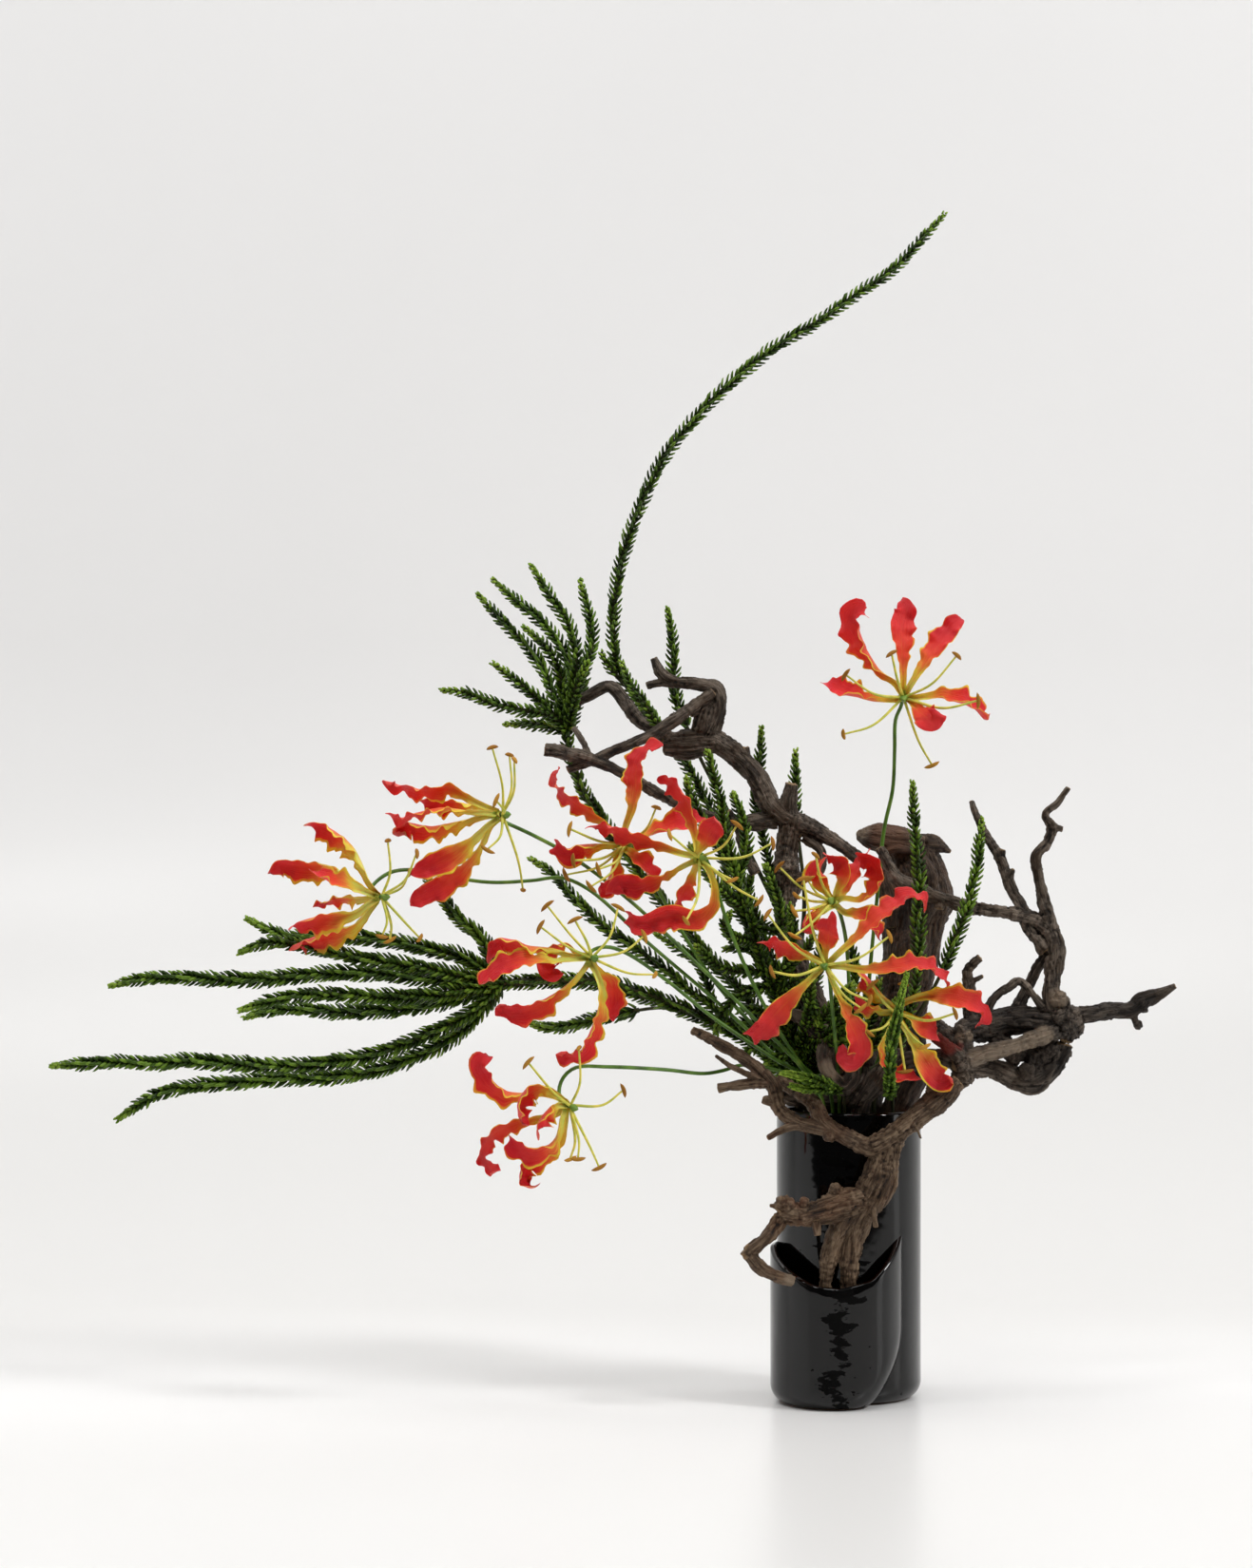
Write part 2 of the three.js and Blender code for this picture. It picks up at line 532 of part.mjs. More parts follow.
// ---- routes of the needle-leaved shoots, each from where it leaves its stem to its tip --------
const SPRAYS = {
  foliage_left_fan: {
    mouth: MOUTH.leftFan,
    pitch: 26,
    stem: [[515, 1036, 32], [560, 1032, 30], [600, 1031, 26], [640, 1034, 22], [670, 1044, 18],
      [700, 1054, 14], [740, 1070, 8], [770, 1084, 4], [803, 1104, 1], [832, 1136, 0]],
    stemRadii: [3.6, 4, 4, 4, 4, 4, 4, 3.8, 3.6, 3.4],
    twigs: [[[[740, 1070, 8], [700, 1060, -4], [660, 1064, -14]], [2, 1.4, 1.1]]],
    shoots: [
      [[520, 1028, 31], [490, 1008, 26], [450, 998, 20], [400, 988, 12], [340, 985, 4],
        [300, 984, -2], [254, 964, -8]],
      [[516, 1033, 34], [480, 1025, 40], [430, 1015, 48], [380, 1008, 54], [330, 997, 58],
        [285, 991, 62], [245, 1004, 66]],
      [[512, 1036, 31], [450, 1029, 28], [400, 1024, 26], [340, 1024, 24], [290, 1029, 22],
        [240, 1030, 20], [180, 1028, 20], [140, 1031, 20], [110, 1039, 20]],
      [[514, 1040, 36], [450, 1047, 50], [400, 1048, 60], [340, 1046, 68], [300, 1049, 72],
        [246, 1064, 76]],
      [[518, 1044, 32], [470, 1053, 18], [420, 1061, 6], [360, 1064, -4], [310, 1061, -12],
        [280, 1063, -16], [252, 1073, -20]],
      [[524, 1040, 34], [505, 1058, 40], [475, 1077, 46], [440, 1092, 52], [400, 1107, 56],
        [350, 1117, 58], [300, 1121, 60], [250, 1119, 60], [200, 1116, 60], [160, 1118, 60],
        [120, 1117, 60], [80, 1119, 60], [48, 1122, 60]],
      [[526, 1044, 32], [495, 1075, 30], [470, 1095, 28], [440, 1110, 27], [400, 1124, 26],
        [350, 1133, 25], [300, 1134, 24], [250, 1138, 24], [200, 1143, 23], [165, 1151, 22],
        [118, 1181, 22]],
      [[528, 1030, 28], [505, 985, 18], [485, 968, 14], [465, 945, 10], [438, 908, 6]],
      [[662, 1064, -13], [640, 1068, -16], [610, 1076, -20], [580, 1081, -24], [548, 1074, -28]],
    ],
  },
  foliage_upper_fan: {
    mouth: MOUTH.upperFan,
    pitch: 21,
    stem: [[597, 756, -12], [598, 785, -12], [605, 810, -12], [615, 835, -12], [630, 857, -12],
      [645, 880, -12], [660, 900, -12], [690, 940, -13], [740, 1000, -14], [790, 1056, -15],
      [830, 1110, -15]],
    stemRadii: [2.6, 2.8, 3, 3, 3, 3, 3, 3, 3, 3],
    shoots: [
      [[594, 762, -14], [585, 735, -20], [572, 705, -27], [555, 680, -34], [535, 660, -40],
        [498, 620, -48]],
      [[598, 758, -14], [600, 720, -18], [595, 690, -22], [580, 665, -24], [560, 645, -26],
        [535, 625, -28], [514, 605, -30]],
      [[600, 758, -9], [605, 710, 4], [605, 680, 8], [597, 655, 10], [582, 632, 12],
        [555, 589, 14]],
      [[601, 762, -13], [609, 728, -26], [616, 700, -34], [622, 680, -38], [622, 655, -40],
        [615, 630, -42], [609, 604, -44]],
      [[592, 760, -10], [570, 738, -2], [550, 722, 4], [530, 706, 8], [513, 694, 12]],
      [[594, 764, -10], [580, 752, 0], [550, 747, 12], [520, 740, 18], [490, 729, 22],
        [458, 725, 26]],
      [[593, 770, -12], [570, 763, -18], [545, 761, -24], [525, 763, -28]],
      [[597, 752, -11], [592, 725, -6], [586, 700, 0], [572, 678, 6], [545, 655, 8]],
    ],
  },
  foliage_tall_shoot: {
    mouth: MOUTH.tallShoot,
    pitch: 21,
    stem: [[700, 775, -32], [722, 805, -32], [752, 860, -32], [782, 930, -32], [812, 1010, -31],
      [840, 1090, -30], [858, 1136, -28]],
    stemRadii: [1.6, 2, 2.2, 2.4, 2.5, 2.5, 2.5, 2.5],
    twigs: [[[[663, 727, -28], [645, 706, -22], [632, 688, -18]], [1.4, 2.2, 0.8]]],
    shoots: [
      [[702, 779, -32], [685, 755, -30], [665, 730, -28], [652, 705, -24], [646, 685, -20],
        [645, 655, -14], [648, 620, -8], [655, 585, -2], [668, 545, 4], [683, 510, 8],
        [700, 478, 12], [725, 447, 16], [750, 420, 18], [775, 397, 20], [805, 372, 22],
        [840, 350, 24], [870, 332, 25], [900, 310, 26], [935, 287, 28], [960, 262, 29],
        [998, 220, 30]],
    ],
  },
  foliage_low_shoot: {
    mouth: MOUTH.lowShoot,
    pitch: 21,
    stem: [[712, 1031, 12], [750, 1060, 12], [790, 1092, 12], [824, 1128, 14]],
    stemRadii: [1.6, 2, 2.2, 2.2, 2.2, 2.2],
    shoots: [
      [[715, 1034, 12], [680, 1005, 8], [650, 985, 4], [625, 965, 0], [605, 945, -2],
        [580, 918, -4], [552, 899, -6]],
      [[750, 1058, 14], [735, 1012, 18], [712, 996, 24], [684, 978, 28]],
    ],
  },
  foliage_centre_spray: {
    mouth: MOUTH.centreSpray,
    pitch: 18,
    stem: [[768, 905, 26], [785, 960, 20], [806, 1020, 12], [830, 1080, 5], [848, 1130, 2]],
    stemRadii: [2, 2.4, 2.6, 2.8, 2.8, 2.8],
    shoots: [
      [[769, 909, 26], [762, 875, 27], [757, 842, 28], [750, 812, 29], [742, 784, 30]],
      [[774, 924, 23], [785, 890, 22], [780, 860, 20], [768, 828, 20]],
      [[768, 905, 27], [745, 872, 32], [730, 845, 34], [720, 812, 36]],
      [[790, 975, 18], [822, 975, 30], [818, 948, 34], [810, 925, 36], [803, 904, 38]],
      [[783, 952, 21], [758, 935, 34], [742, 915, 40], [722, 884, 44]],
      [[796, 992, 17], [770, 985, 34], [762, 972, 42], [772, 955, 48]],
      [[806, 1020, 13], [772, 1020, 26], [750, 1012, 36], [728, 990, 42]],
      [[812, 1036, 11], [778, 1046, 24], [764, 1060, 28], [751, 1094, 30]],
      [[818, 1050, 9], [840, 1034, 26], [854, 1056, 30], [864, 1084, 33]],
    ],
  },
  foliage_back_spray: {
    mouth: MOUTH.backSpray,
    pitch: 21,
    stem: [[800, 868, -34], [812, 920, -40], [826, 980, -44], [846, 1060, -44], [866, 1130, -41]],
    stemRadii: [1.8, 2.2, 2.4, 2.6, 2.6, 2.6],
    twigs: [[[[822, 965, -43], [780, 880, -50], [738, 800, -46], [718, 756, -42]],
      [2, 1.8, 1.6, 1.3]],
    [[[838, 1030, -44], [846, 950, -56], [839, 872, -60]], [2, 1.6, 1.3]]],
    shoots: [
      [[719, 758, -42], [712, 735, -38], [708, 705, -36], [708, 680, -34], [701, 633, -32]],
      [[800, 872, -34], [796, 848, -32], [797, 820, -30], [800, 790, -28], [801, 758, -26]],
      [[839, 874, -60], [836, 845, -60], [836, 820, -60], [837, 783, -60]],
    ],
  },
  foliage_right_shoots: {
    mouth: MOUTH.rightShoots,
    pitch: 18,
    stem: [[968, 1004, 26], [960, 1050, 22], [944, 1100, 16], [928, 1140, 10]],
    stemRadii: [1.5, 2, 2.3, 2.4, 2.4, 2.4],
    twigs: [[[[996, 1012, 26], [976, 1050, 20], [946, 1096, 16]], [1.4, 1.6, 1.8]],
      [[[940, 1110, 15], [925, 1118, 44], [915, 1124, 52]], [1.2, 1.1, 1]]],
    shoots: [
      [[968, 1008, 26], [966, 960, 30], [967, 920, 32], [963, 880, 33], [961, 850, 34],
        [960, 816, 35]],
      [[995, 1015, 26], [1010, 975, 26], [1020, 945, 25], [1027, 915, 24], [1030, 885, 23],
        [1034, 855, 22]],
    ],
  },
  foliage_tuft_right: {
    mouth: MOUTH.tuftRight,
    pitch: 8,
    stem: [[938, 1092, 92], [936, 1118, 93], [936, 1142, 84], [936, 1150, 60]],
    stemRadii: [1.3, 1.4, 1.5, 1.5, 1.5, 1.5],
    shoots: [[[939, 1090, 92], [945, 1062, 97], [950, 1040, 100], [956, 1018, 102]]],
  },
  foliage_tuft_left: {
    mouth: MOUTH.tuftLeft,
    pitch: 8,
    stem: [[870, 1140, 60], [880, 1146, 52]],
    stemRadii: [1.3, 1.4, 1.5, 1.5],
    shoots: [[[873, 1141, 58], [856, 1136, 66], [838, 1131, 68], [817, 1128, 70]]],
  },
};

// ---- flame lilies --------------------------------------------------------------------------
// hub: where the petals meet; facing: the way the flower looks, in x, towards, z;
// petals: [route past the hub, its depth from the hub's, apparent width in picture units,
// roll sign]; stamens: where each anther is
const BLOOMS = [
  {
    hub: [950, 733, 22],
    facing: [0, 1, -0.25],
    stem: [[948, 742, 10], [942, 757, 2], [941, 790, -2], [939, 830, -5], [930, 872, -9],
      [924, 930, -8], [916, 1010, -5], [910, 1090, -1]],
    mouth: [6, 5],
    petals: [
      [[[941, 717, 4], [925, 705, 4], [912, 685, 0], [902, 665, -4], [896, 650, -6],
        [903, 642, -4], [917, 648, 0]], 16],
      [[[950, 720, 4], [949, 690, 2], [948, 660, -4], [952, 640, -8], [945, 626, -8]], 26],
      [[[958, 720, 4], [975, 695, 2], [990, 675, -4], [1005, 655, -8], [1015, 648, -8]], 25],
      [[[940, 737, 3], [920, 737, 6], [900, 732, 6], [885, 727, 4], [864, 713, 2]], -17],
      [[[962, 734, 3], [990, 733, 6], [1010, 738, 6], [1025, 745, 4], [1037, 757, 2],
        [1042, 752, 4]], 12],
      [[[959, 740, 4], [968, 749, 13], [980, 757, 20], [992, 748, 24]], 24],
    ],
    stamens: [[938, 688, 16], [890, 710, 18], [1006, 690, 16], [1028, 737, 20], [888, 772, 16],
      [980, 804, 2]],
  },
  {
    hub: [525, 857, 74],
    facing: [1, 0.5, 0.05],
    stem: [[520, 858, 63], [530, 864, 54], [560, 878, 51], [600, 900, 50], [660, 945, 46],
      [740, 1020, 40], [800, 1078, 36]],
    mouth: [-26, 33],
    petals: [
      [[[505, 846, 0], [490, 838, -2], [475, 829, -3], [450, 832, -4], [425, 828, -6],
        [408, 822, -8], [403, 814, -6]], 18],
      [[[508, 854, 6], [490, 853, 10], [465, 850, 12], [440, 855, 12], [420, 861, 12],
        [405, 850, 12]], 12],
      [[[506, 859, -2], [480, 865, -12], [450, 870, -18], [430, 868, -20], [419, 876, -20],
        [424, 890, -18]], 18],
      [[[512, 868, 4], [500, 880, 6], [475, 900, 8], [450, 912, 10], [428, 920, 12]], 24],
      [[[516, 868, -3], [505, 890, -10], [490, 910, -16], [468, 930, -20], [445, 942, -20],
        [425, 950, -24]], 22],
      [[[512, 850, -8], [490, 846, -16], [462, 845, -22], [436, 846, -26]], 16],
    ],
    stamens: [[518, 787, 6], [536, 795, -4], [550, 935, -4], [513, 893, 14], [522, 842, 24],
      [541, 800, 14]],
  },
  {
    hub: [398, 943, 84],
    facing: [1, 0.5, 0],
    stem: [[388, 938, 74], [396, 927, 68], [412, 917, 63], [440, 915, 53], [490, 925, 39],
      [520, 928, 44], [560, 926, 42], [590, 923, 42], [620, 936, 38], [680, 990, 32],
      [750, 1050, 26], [800, 1096, 20]],
    mouth: [-31, 24],
    petals: [
      [[[388, 926, 4], [380, 908, 6], [370, 890, 4], [350, 875, 2], [330, 868, 0],
        [318, 875, 0]], 18],
      [[[384, 934, -4], [365, 920, -8], [345, 912, -10], [320, 912, -12], [295, 910, -12],
        [282, 920, -12]], 17],
      [[[384, 938, 6], [365, 932, 12], [345, 925, 14], [325, 915, 16]], -14],
      [[[386, 952, 4], [375, 960, 4], [350, 965, 4], [325, 968, 4], [303, 976, 4]], 20],
      [[[388, 958, -6], [375, 972, -12], [352, 980, -16], [325, 988, -18], [300, 998, -18]], 14],
      [[[380, 946, -4], [360, 946, -16], [342, 950, -22], [330, 956, -26]], 16],
    ],
    stamens: [[408, 885, 4], [438, 898, 20], [402, 984, 8], [441, 986, -6], [410, 988, -14],
      [430, 918, -12]],
  },
  {
    hub: [620, 1008, 94],
    facing: [0.8, 0.9, 0.1],
    stem: [[624, 999, 82], [640, 996, 72], [660, 1003, 62], [700, 1030, 48], [750, 1070, 42],
      [812, 1112, 36]],
    mouth: [-21, 22],
    petals: [
      [[[608, 1002, -2], [595, 992, -4], [580, 1000, -4], [574, 1014, -2], [580, 1024, 2],
        [592, 1022, 4]], 16],
      [[[604, 1004, 2], [580, 998, 4], [555, 995, 4], [540, 990, 4], [525, 990, 2],
        [516, 1003, 0], [520, 1018, 0]], 14],
      [[[604, 1010, 6], [580, 1012, 12], [555, 1011, 14], [530, 1017, 16], [512, 1030, 16],
        [507, 1042, 14]], -14],
      [[[610, 1022, 2], [598, 1035, 2], [580, 1048, 0], [560, 1060, -2], [535, 1062, -4],
        [520, 1050, -6]], 16],
      [[[627, 1022, 2], [632, 1040, 4], [630, 1062, 4], [622, 1085, 2], [612, 1106, 0],
        [598, 1110, 2], [582, 1098, 4]], 20],
      [[[625, 1018, -6], [638, 1036, -12], [640, 1056, -16], [635, 1076, -18]], 18],
    ],
    stamens: [[569, 975, 10], [576, 953, 0], [605, 968, 12], [650, 955, -4], [677, 985, 6],
      [688, 1025, 8]],
  },
  {
    hub: [596, 1162, 100],
    facing: [1, 0.5, -0.35],
    stem: [[588, 1149, 90], [592, 1134, 86], [605, 1123, 84], [640, 1122, 80], [700, 1125, 66],
      [740, 1129, 50], [760, 1126, 40], [785, 1120, 35]],
    mouth: [-24, 36],
    petals: [
      [[[584, 1152, 0], [570, 1148, 0], [545, 1150, -2], [525, 1145, -4], [510, 1130, -4],
        [505, 1119, -2], [517, 1110, 2]], 19],
      [[[587, 1152, 7], [572, 1143, 13], [556, 1145, 14], [546, 1160, 14], [546, 1174, 12],
        [554, 1187, 10]], 16],
      [[[586, 1162, 8], [574, 1170, 14], [567, 1182, 16], [566, 1194, 14]], 18],
      [[[584, 1172, -4], [560, 1178, -8], [535, 1185, -10], [516, 1196, -12], [507, 1214, -12],
        [515, 1230, -10], [533, 1234, -6]], 18],
      [[[590, 1176, 4], [584, 1198, 6], [566, 1210, 6], [545, 1207, 4], [531, 1194, 2]], 17],
      [[[594, 1180, -4], [588, 1200, -8], [570, 1216, -10], [552, 1226, -12], [548, 1240, -12],
        [558, 1249, -10], [570, 1243, -8]], 18],
    ],
    stamens: [[655, 1147, 2], [630, 1227, 4], [608, 1218, 12], [556, 1118, 22], [609, 1103, 8],
      [600, 1218, -10]],
  },
  {
    hub: [733, 903, 84],
    facing: [0.9, 0.8, 0.1],
    stem: [[738, 898, 70], [748, 915, 56], [765, 970, 50], [800, 1050, 40], [845, 1122, 32]],
    mouth: [-16, 30],
    petals: [
      [[[732, 885, 0], [728, 862, -2], [720, 840, -4], [705, 822, -6], [690, 816, -8]], 20],
      [[[718, 898, -2], [690, 887, -6], [660, 877, -8], [635, 869, -10], [612, 872, -10]], 18],
      [[[718, 910, 2], [700, 920, 2], [672, 930, 0], [652, 930, 0], [640, 947, 2]], 21],
      [[[730, 916, -6], [722, 932, -14], [712, 950, -20], [704, 966, -24]], 18],
      [[[740, 890, 8], [746, 876, 18], [754, 868, 24], [760, 862, 30]], 24],
      [[[742, 912, 6], [750, 932, 8], [748, 952, 8], [732, 965, 8], [704, 962, 8],
        [675, 970, 8], [652, 958, 8]], 22],
    ],
    stamens: [[812, 887, 10], [798, 947, 6], [775, 868, 20], [770, 925, 24], [722, 968, 30],
      [705, 878, 26]],
  },
  {
    hub: [655, 888, 62],
    facing: [0.9, 0.8, 0.1],
    stem: [[660, 886, 48], [675, 905, 36], [700, 950, 28], [750, 1030, 22], [806, 1092, 16]],
    mouth: [-19, 12],
    petals: [
      [[[658, 870, 0], [665, 850, 0], [668, 828, -2], [670, 805, -4], [680, 788, -4],
        [702, 787, -2]], 20],
      [[[646, 876, -2], [630, 862, -4], [605, 845, -6], [590, 833, -8], [583, 820, -8],
        [590, 805, -6]], 14],
      [[[640, 888, 2], [615, 889, 4], [595, 895, 4], [580, 885, 4]], 20],
      [[[668, 884, -6], [690, 876, -12], [715, 868, -16], [742, 858, -18]], 16],
      [[[649, 902, 2], [644, 916, 4], [638, 930, 4], [625, 936, 4]], 20],
      [[[664, 898, 8], [674, 908, 10], [682, 918, 8], [684, 930, 4]], 18],
    ],
    stamens: [[596, 920, 10], [604, 905, 18], [622, 932, 24], [630, 914, 26], [690, 850, 12],
      [600, 872, 14]],
  },
  {
    hub: [868, 1015, 84],
    facing: [-0.15, 1, -0.1],
    stem: [[872, 1024, 70], [875, 1056, 52], [880, 1110, 36]],
    mouth: [-9, 31],
    petals: [
      [[[869, 1000, 2], [871, 988, 9], [873, 974, 17], [873, 960, 22]], 20],
      [[[852, 1006, 3], [835, 1000, 6], [815, 991, 4], [796, 994, 2]], 20],
      [[[884, 1016, 3], [910, 1020, 4], [940, 1018, 2], [970, 1015, -4], [990, 1025, -8],
        [1003, 1042, -10]], 18],
      [[[880, 1004, 2], [903, 985, 0], [925, 965, -2], [942, 953, -4], [957, 943, -4],
        [970, 946, -2], [973, 960, 0]], 15],
      [[[856, 1027, 3], [840, 1042, 6], [820, 1062, 6], [800, 1084, 4], [780, 1096, 2]], 26],
      [[[873, 1028, 4], [882, 1050, 8], [894, 1075, 8], [903, 1098, 6], [899, 1116, 6],
        [888, 1111, 8], [885, 1099, 10]], 20],
    ],
    stamens: [[813, 1022, 16], [808, 962, 14], [845, 925, 12], [935, 985, 14], [914, 1052, 20],
      [905, 1060, 8]],
  },
  {
    hub: [877, 950, 46],
    facing: [-0.5, 0.8, 0.4],
    stem: [[884, 962, 38], [890, 990, 32], [894, 1060, 28], [896, 1120, 26]],
    mouth: [3, 22.5],
    petals: [
      [[[870, 938, 2], [866, 926, 6], [862, 914, 10], [868, 902, 12]], 18],
      [[[880, 938, 2], [888, 924, 2], [884, 908, -2], [866, 898, -6]], 18],
      [[[886, 946, 2], [905, 948, 2], [920, 938, 0], [926, 920, -2], [916, 904, -2],
        [898, 900, 0]], 20],
      [[[866, 956, 6], [852, 962, 10], [845, 974, 14], [852, 986, 16]], 20],
      [[[888, 960, -2], [904, 964, -4], [918, 976, -8], [926, 990, -10]], 16],
      [[[884, 942, -6], [896, 926, -12], [905, 908, -16], [914, 893, -18]], 18],
    ],
    stamens: [[820, 912, 10], [838, 942, 16], [858, 900, 24], [850, 926, 26], [836, 958, 18],
      [836, 984, 34]],
  },
  {
    hub: [942, 1065, 60],
    facing: [0.1, 1, -0.1],
    stem: [[936, 1072, 48], [930, 1095, 36], [918, 1130, 28]],
    mouth: [11, 26],
    petals: [
      [[[932, 1064, 2], [920, 1060, 4], [908, 1056, 4], [896, 1052, 2]], 20],
      [[[935, 1055, 2], [924, 1042, 4], [914, 1030, 4], [904, 1020, 2]], 16],
      [[[950, 1056, 2], [970, 1049, 4], [998, 1050, 4], [1018, 1056, 4], [1034, 1068, 4],
        [1027, 1080, 6]], 20],
      [[[952, 1068, 2], [966, 1078, 4], [978, 1084, 4], [990, 1090, 2]], 18],
      [[[948, 1077, 4], [962, 1100, 8], [976, 1122, 10], [991, 1138, 10], [1008, 1129, 10]], 23],
      [[[937, 1080, 4], [926, 1102, 8], [930, 1120, 10], [945, 1133, 12], [974, 1131, 12]], 20],
    ],
    stamens: [[952, 1126, 18], [1004, 1066, 24], [950, 1036, 4], [914, 1085, 18],
      [918, 1036, 16], [972, 1100, 22]],
  },
];

const PETAL_PROFILE = [0.13, 0.24, 0.5, 0.86, 1, 0.92, 0.6, 0.1];

// where a bloom's parts are, from its picture of hub and facing
function bloomFrame({ hub, facing }) {
  const centre = at(hub);
  const axis = new THREE.Vector3(facing[0], -facing[1], facing[2]).normalize();
  return { centre, axis, ahead: (mm) => centre.clone().addScaledVector(axis, mm) };
}

// A petal is a thin blade, thickest along its midrib, whose two edges wave up and down.
// Its route leaves the collar, and roll turns it from facing the viewer to edge on.
function petal(bloom, [route, width], owner) {
  const { centre, axis } = bloomFrame(bloom);
  const points = route.map(([u, v, depth]) => at([u, v, bloom.hub[2] + depth]));
  const out = points[0].clone().sub(centre);
  out.addScaledVector(axis, -out.dot(axis)).normalize();
  const root = centre.clone().addScaledVector(out, 2.2);
  const roll = Math.acos(Math.min(1, Math.abs(width) / 26)) * Math.sign(width);
  const list = stations([root, ...points], TEPAL.segments);
  const rings = [];
  list.forEach((station, k) => {
    const facing = new THREE.Vector3(0, -1, 0);
    facing.addScaledVector(station.forward, -facing.dot(station.forward));
    if (facing.length() < 0.2) facing.copy(station.side);
    facing.normalize().applyAxisAngle(station.forward, roll * Math.min(1, station.s * 3));
    const across = station.forward.clone().cross(facing);
    const half = (TEPAL.width / 2) * along(PETAL_PROFILE, station.s);
    const wave = TEPAL.wave * Math.min(1, half / 6);
    const rib = TEPAL.thickness / 2;
    const lift = (k % 2 ? wave : -wave) * (k < 2 ? 0.2 : 1);
    const left = station.place.clone().addScaledVector(across, half).addScaledVector(facing, lift);
    const right = station.place.clone().addScaledVector(across, -half);
    right.addScaledVector(facing, -lift * 0.8);
    const face = station.place.clone().addScaledVector(facing, rib);
    const back = station.place.clone().addScaledVector(facing, -rib);
    rings.push([left, back, right, face]);
    if (k) {
      take(rings[k - 1][0], left, 2.4, owner);
      take(rings[k - 1][2], right, 2.4, owner);
      take(rings[k - 1][3], face, 3.4, owner);
    }
  });
  // both faces are cut from the edges at k to the midrib at k + 1, so they stay side by side
  return skin(rings, null, null, true);
}

// the petals' collar: a ring that the flower stalk passes through
function collar(bloom) {
  const { centre, axis } = bloomFrame(bloom);
  const hole = PEDICEL_RADIUS + GAP;
  const section = [[hole + 0.1, -1.4], [3.8, -1], [3.8, 1], [hole + 0.1, 1.4]];
  const ring = new THREE.LatheGeometry(
    [...section, section[0]].map(([r, y]) => new THREE.Vector2(r, y)), 5);
  ring.applyQuaternion(new THREE.Quaternion().setFromUnitVectors(new THREE.Vector3(0, 1, 0), axis));
  ring.translate(centre.x, centre.y, centre.z);
  return ring;
}

function petals(bloom, owner) {
  return toGeometry(fuse([collar(bloom), ...bloom.petals.map((form) => petal(bloom, form, owner))]));
}

// the stalk, which rises from the water and passes the collar, with the green ovary and the
// six spreading stamens in front of it
function bloomStem(bloom, owner) {
  const { centre, axis, ahead } = bloomFrame(bloom);
  const route = [...intoVase(bloom.mouth, STEM_END)].reverse();
  const points = [...route, ...bloom.stem.map(at).reverse(), ahead(-3), centre, ahead(4)];
  const length = points.reduce((sum, p, i) => (i ? sum + p.distanceTo(points[i - 1]) : 0), 0);
  const pieces = [tube(points, [PEDICEL_RADIUS], 3, Math.round(length / 40) + 4, 0, owner)];
  pieces.push(tube([ahead(2.2), ahead(6), ahead(10)], [1.6, 2.5, 0.8], 4, 2, 0, owner));
  bloom.stamens.forEach(([u, v, depth], k) => {
    const anther = at([u, v, bloom.hub[2] + depth]);
    const outward = anther.clone().sub(centre);
    outward.addScaledVector(axis, -outward.dot(axis)).normalize();
    const whorl = ahead(3.2).addScaledVector(outward, 0.9);
    const out = anther.clone().sub(whorl);
    const middle = whorl.clone().addScaledVector(out, 0.55).addScaledVector(axis, 4);
    const across = out.clone().cross(axis).normalize().applyAxisAngle(out.clone().normalize(), k);
    const end = anther.clone().addScaledVector(across, ANTHER.length * 0.7);
    const radii = [STAMEN_RADIUS * 1.2, STAMEN_RADIUS, ANTHER.radius, ANTHER.radius * 0.4];
    pieces.push(tube([whorl, middle, anther, end], radii, 3, 3, 0, owner));
  });
  return toGeometry(fuse(pieces));
}

// ---- the water in the tall cylinder, with a plain hole for each stem that stands in it ---------
function water(stems) {
  const radius = VASE.radius - VASE.wall - GAP;
  const rings = [[10, VASE.floor + GAP], [1.2, VASE.floor + 11], [1.2, WATER_LEVEL]];
  let body = toSolid(
    turned(0, 0, radius, radius, 16, rings, VASE.floor + GAP, WATER_LEVEL));
  stems.forEach(([[x, towards], hole]) => {
    const post = new THREE.CylinderGeometry(hole, hole, WATER_LEVEL, 4);
    post.rotateX(Math.PI / 2);
    post.translate(x, -towards, STEM_END - 2 + WATER_LEVEL / 2);
    body = body.subtract(toSolid(post));
  });
  return toGeometry(body);
}

// a cut twig wedged across the mouth, which the stems lean on
const PROP = { x: 36, height: 196, radius: 2.6 };

function prop() {
  const reach = Math.sqrt((VASE.radius - VASE.wall) ** 2 - (PROP.x + PROP.radius) ** 2) - 1;
  const ends = [-reach, reach].map((y) => new THREE.Vector3(PROP.x, y, PROP.height));
  return tube(ends, [PROP.radius], 8, 2, 0.06);
}

// ---- materials and assembly -------------------------------------------------------------------
const group = new THREE.Group();

function add(name, geometry, colour, roughness, metalness = 0) {
  const material = new THREE.MeshStandardMaterial({ color: colour, roughness, metalness });
  const mesh = new THREE.Mesh(geometry, material);
  mesh.name = name;
  group.add(mesh);
}

add('vase', vase(), 0x0b0b0d, 0.08);
add('driftwood_stump', stump(), 0x5a4638, 0.85);
add('driftwood_arch', driftwood(ARCH_LIMBS, ARCH_KNOBS,
  { from: [[885, 1124, 14]], place: MOUTH.arch }, [8, 7.6, 7, 6]), 0x4a3b32, 0.85);
add('driftwood_right', driftwood(RIGHT_LIMBS, RIGHT_KNOBS,
  { from: [[932, 1132, 36], [912, 1152, 35]], place: MOUTH.right }, [6.4, 6, 5.6, 5]), 0x4d3f36, 0.85);
add('driftwood_front', driftwood(FRONT_LIMBS, FRONT_KNOBS), 0x6a5544, 0.85);
add('mouth_prop', prop(), 0x6a5a40, 0.8);

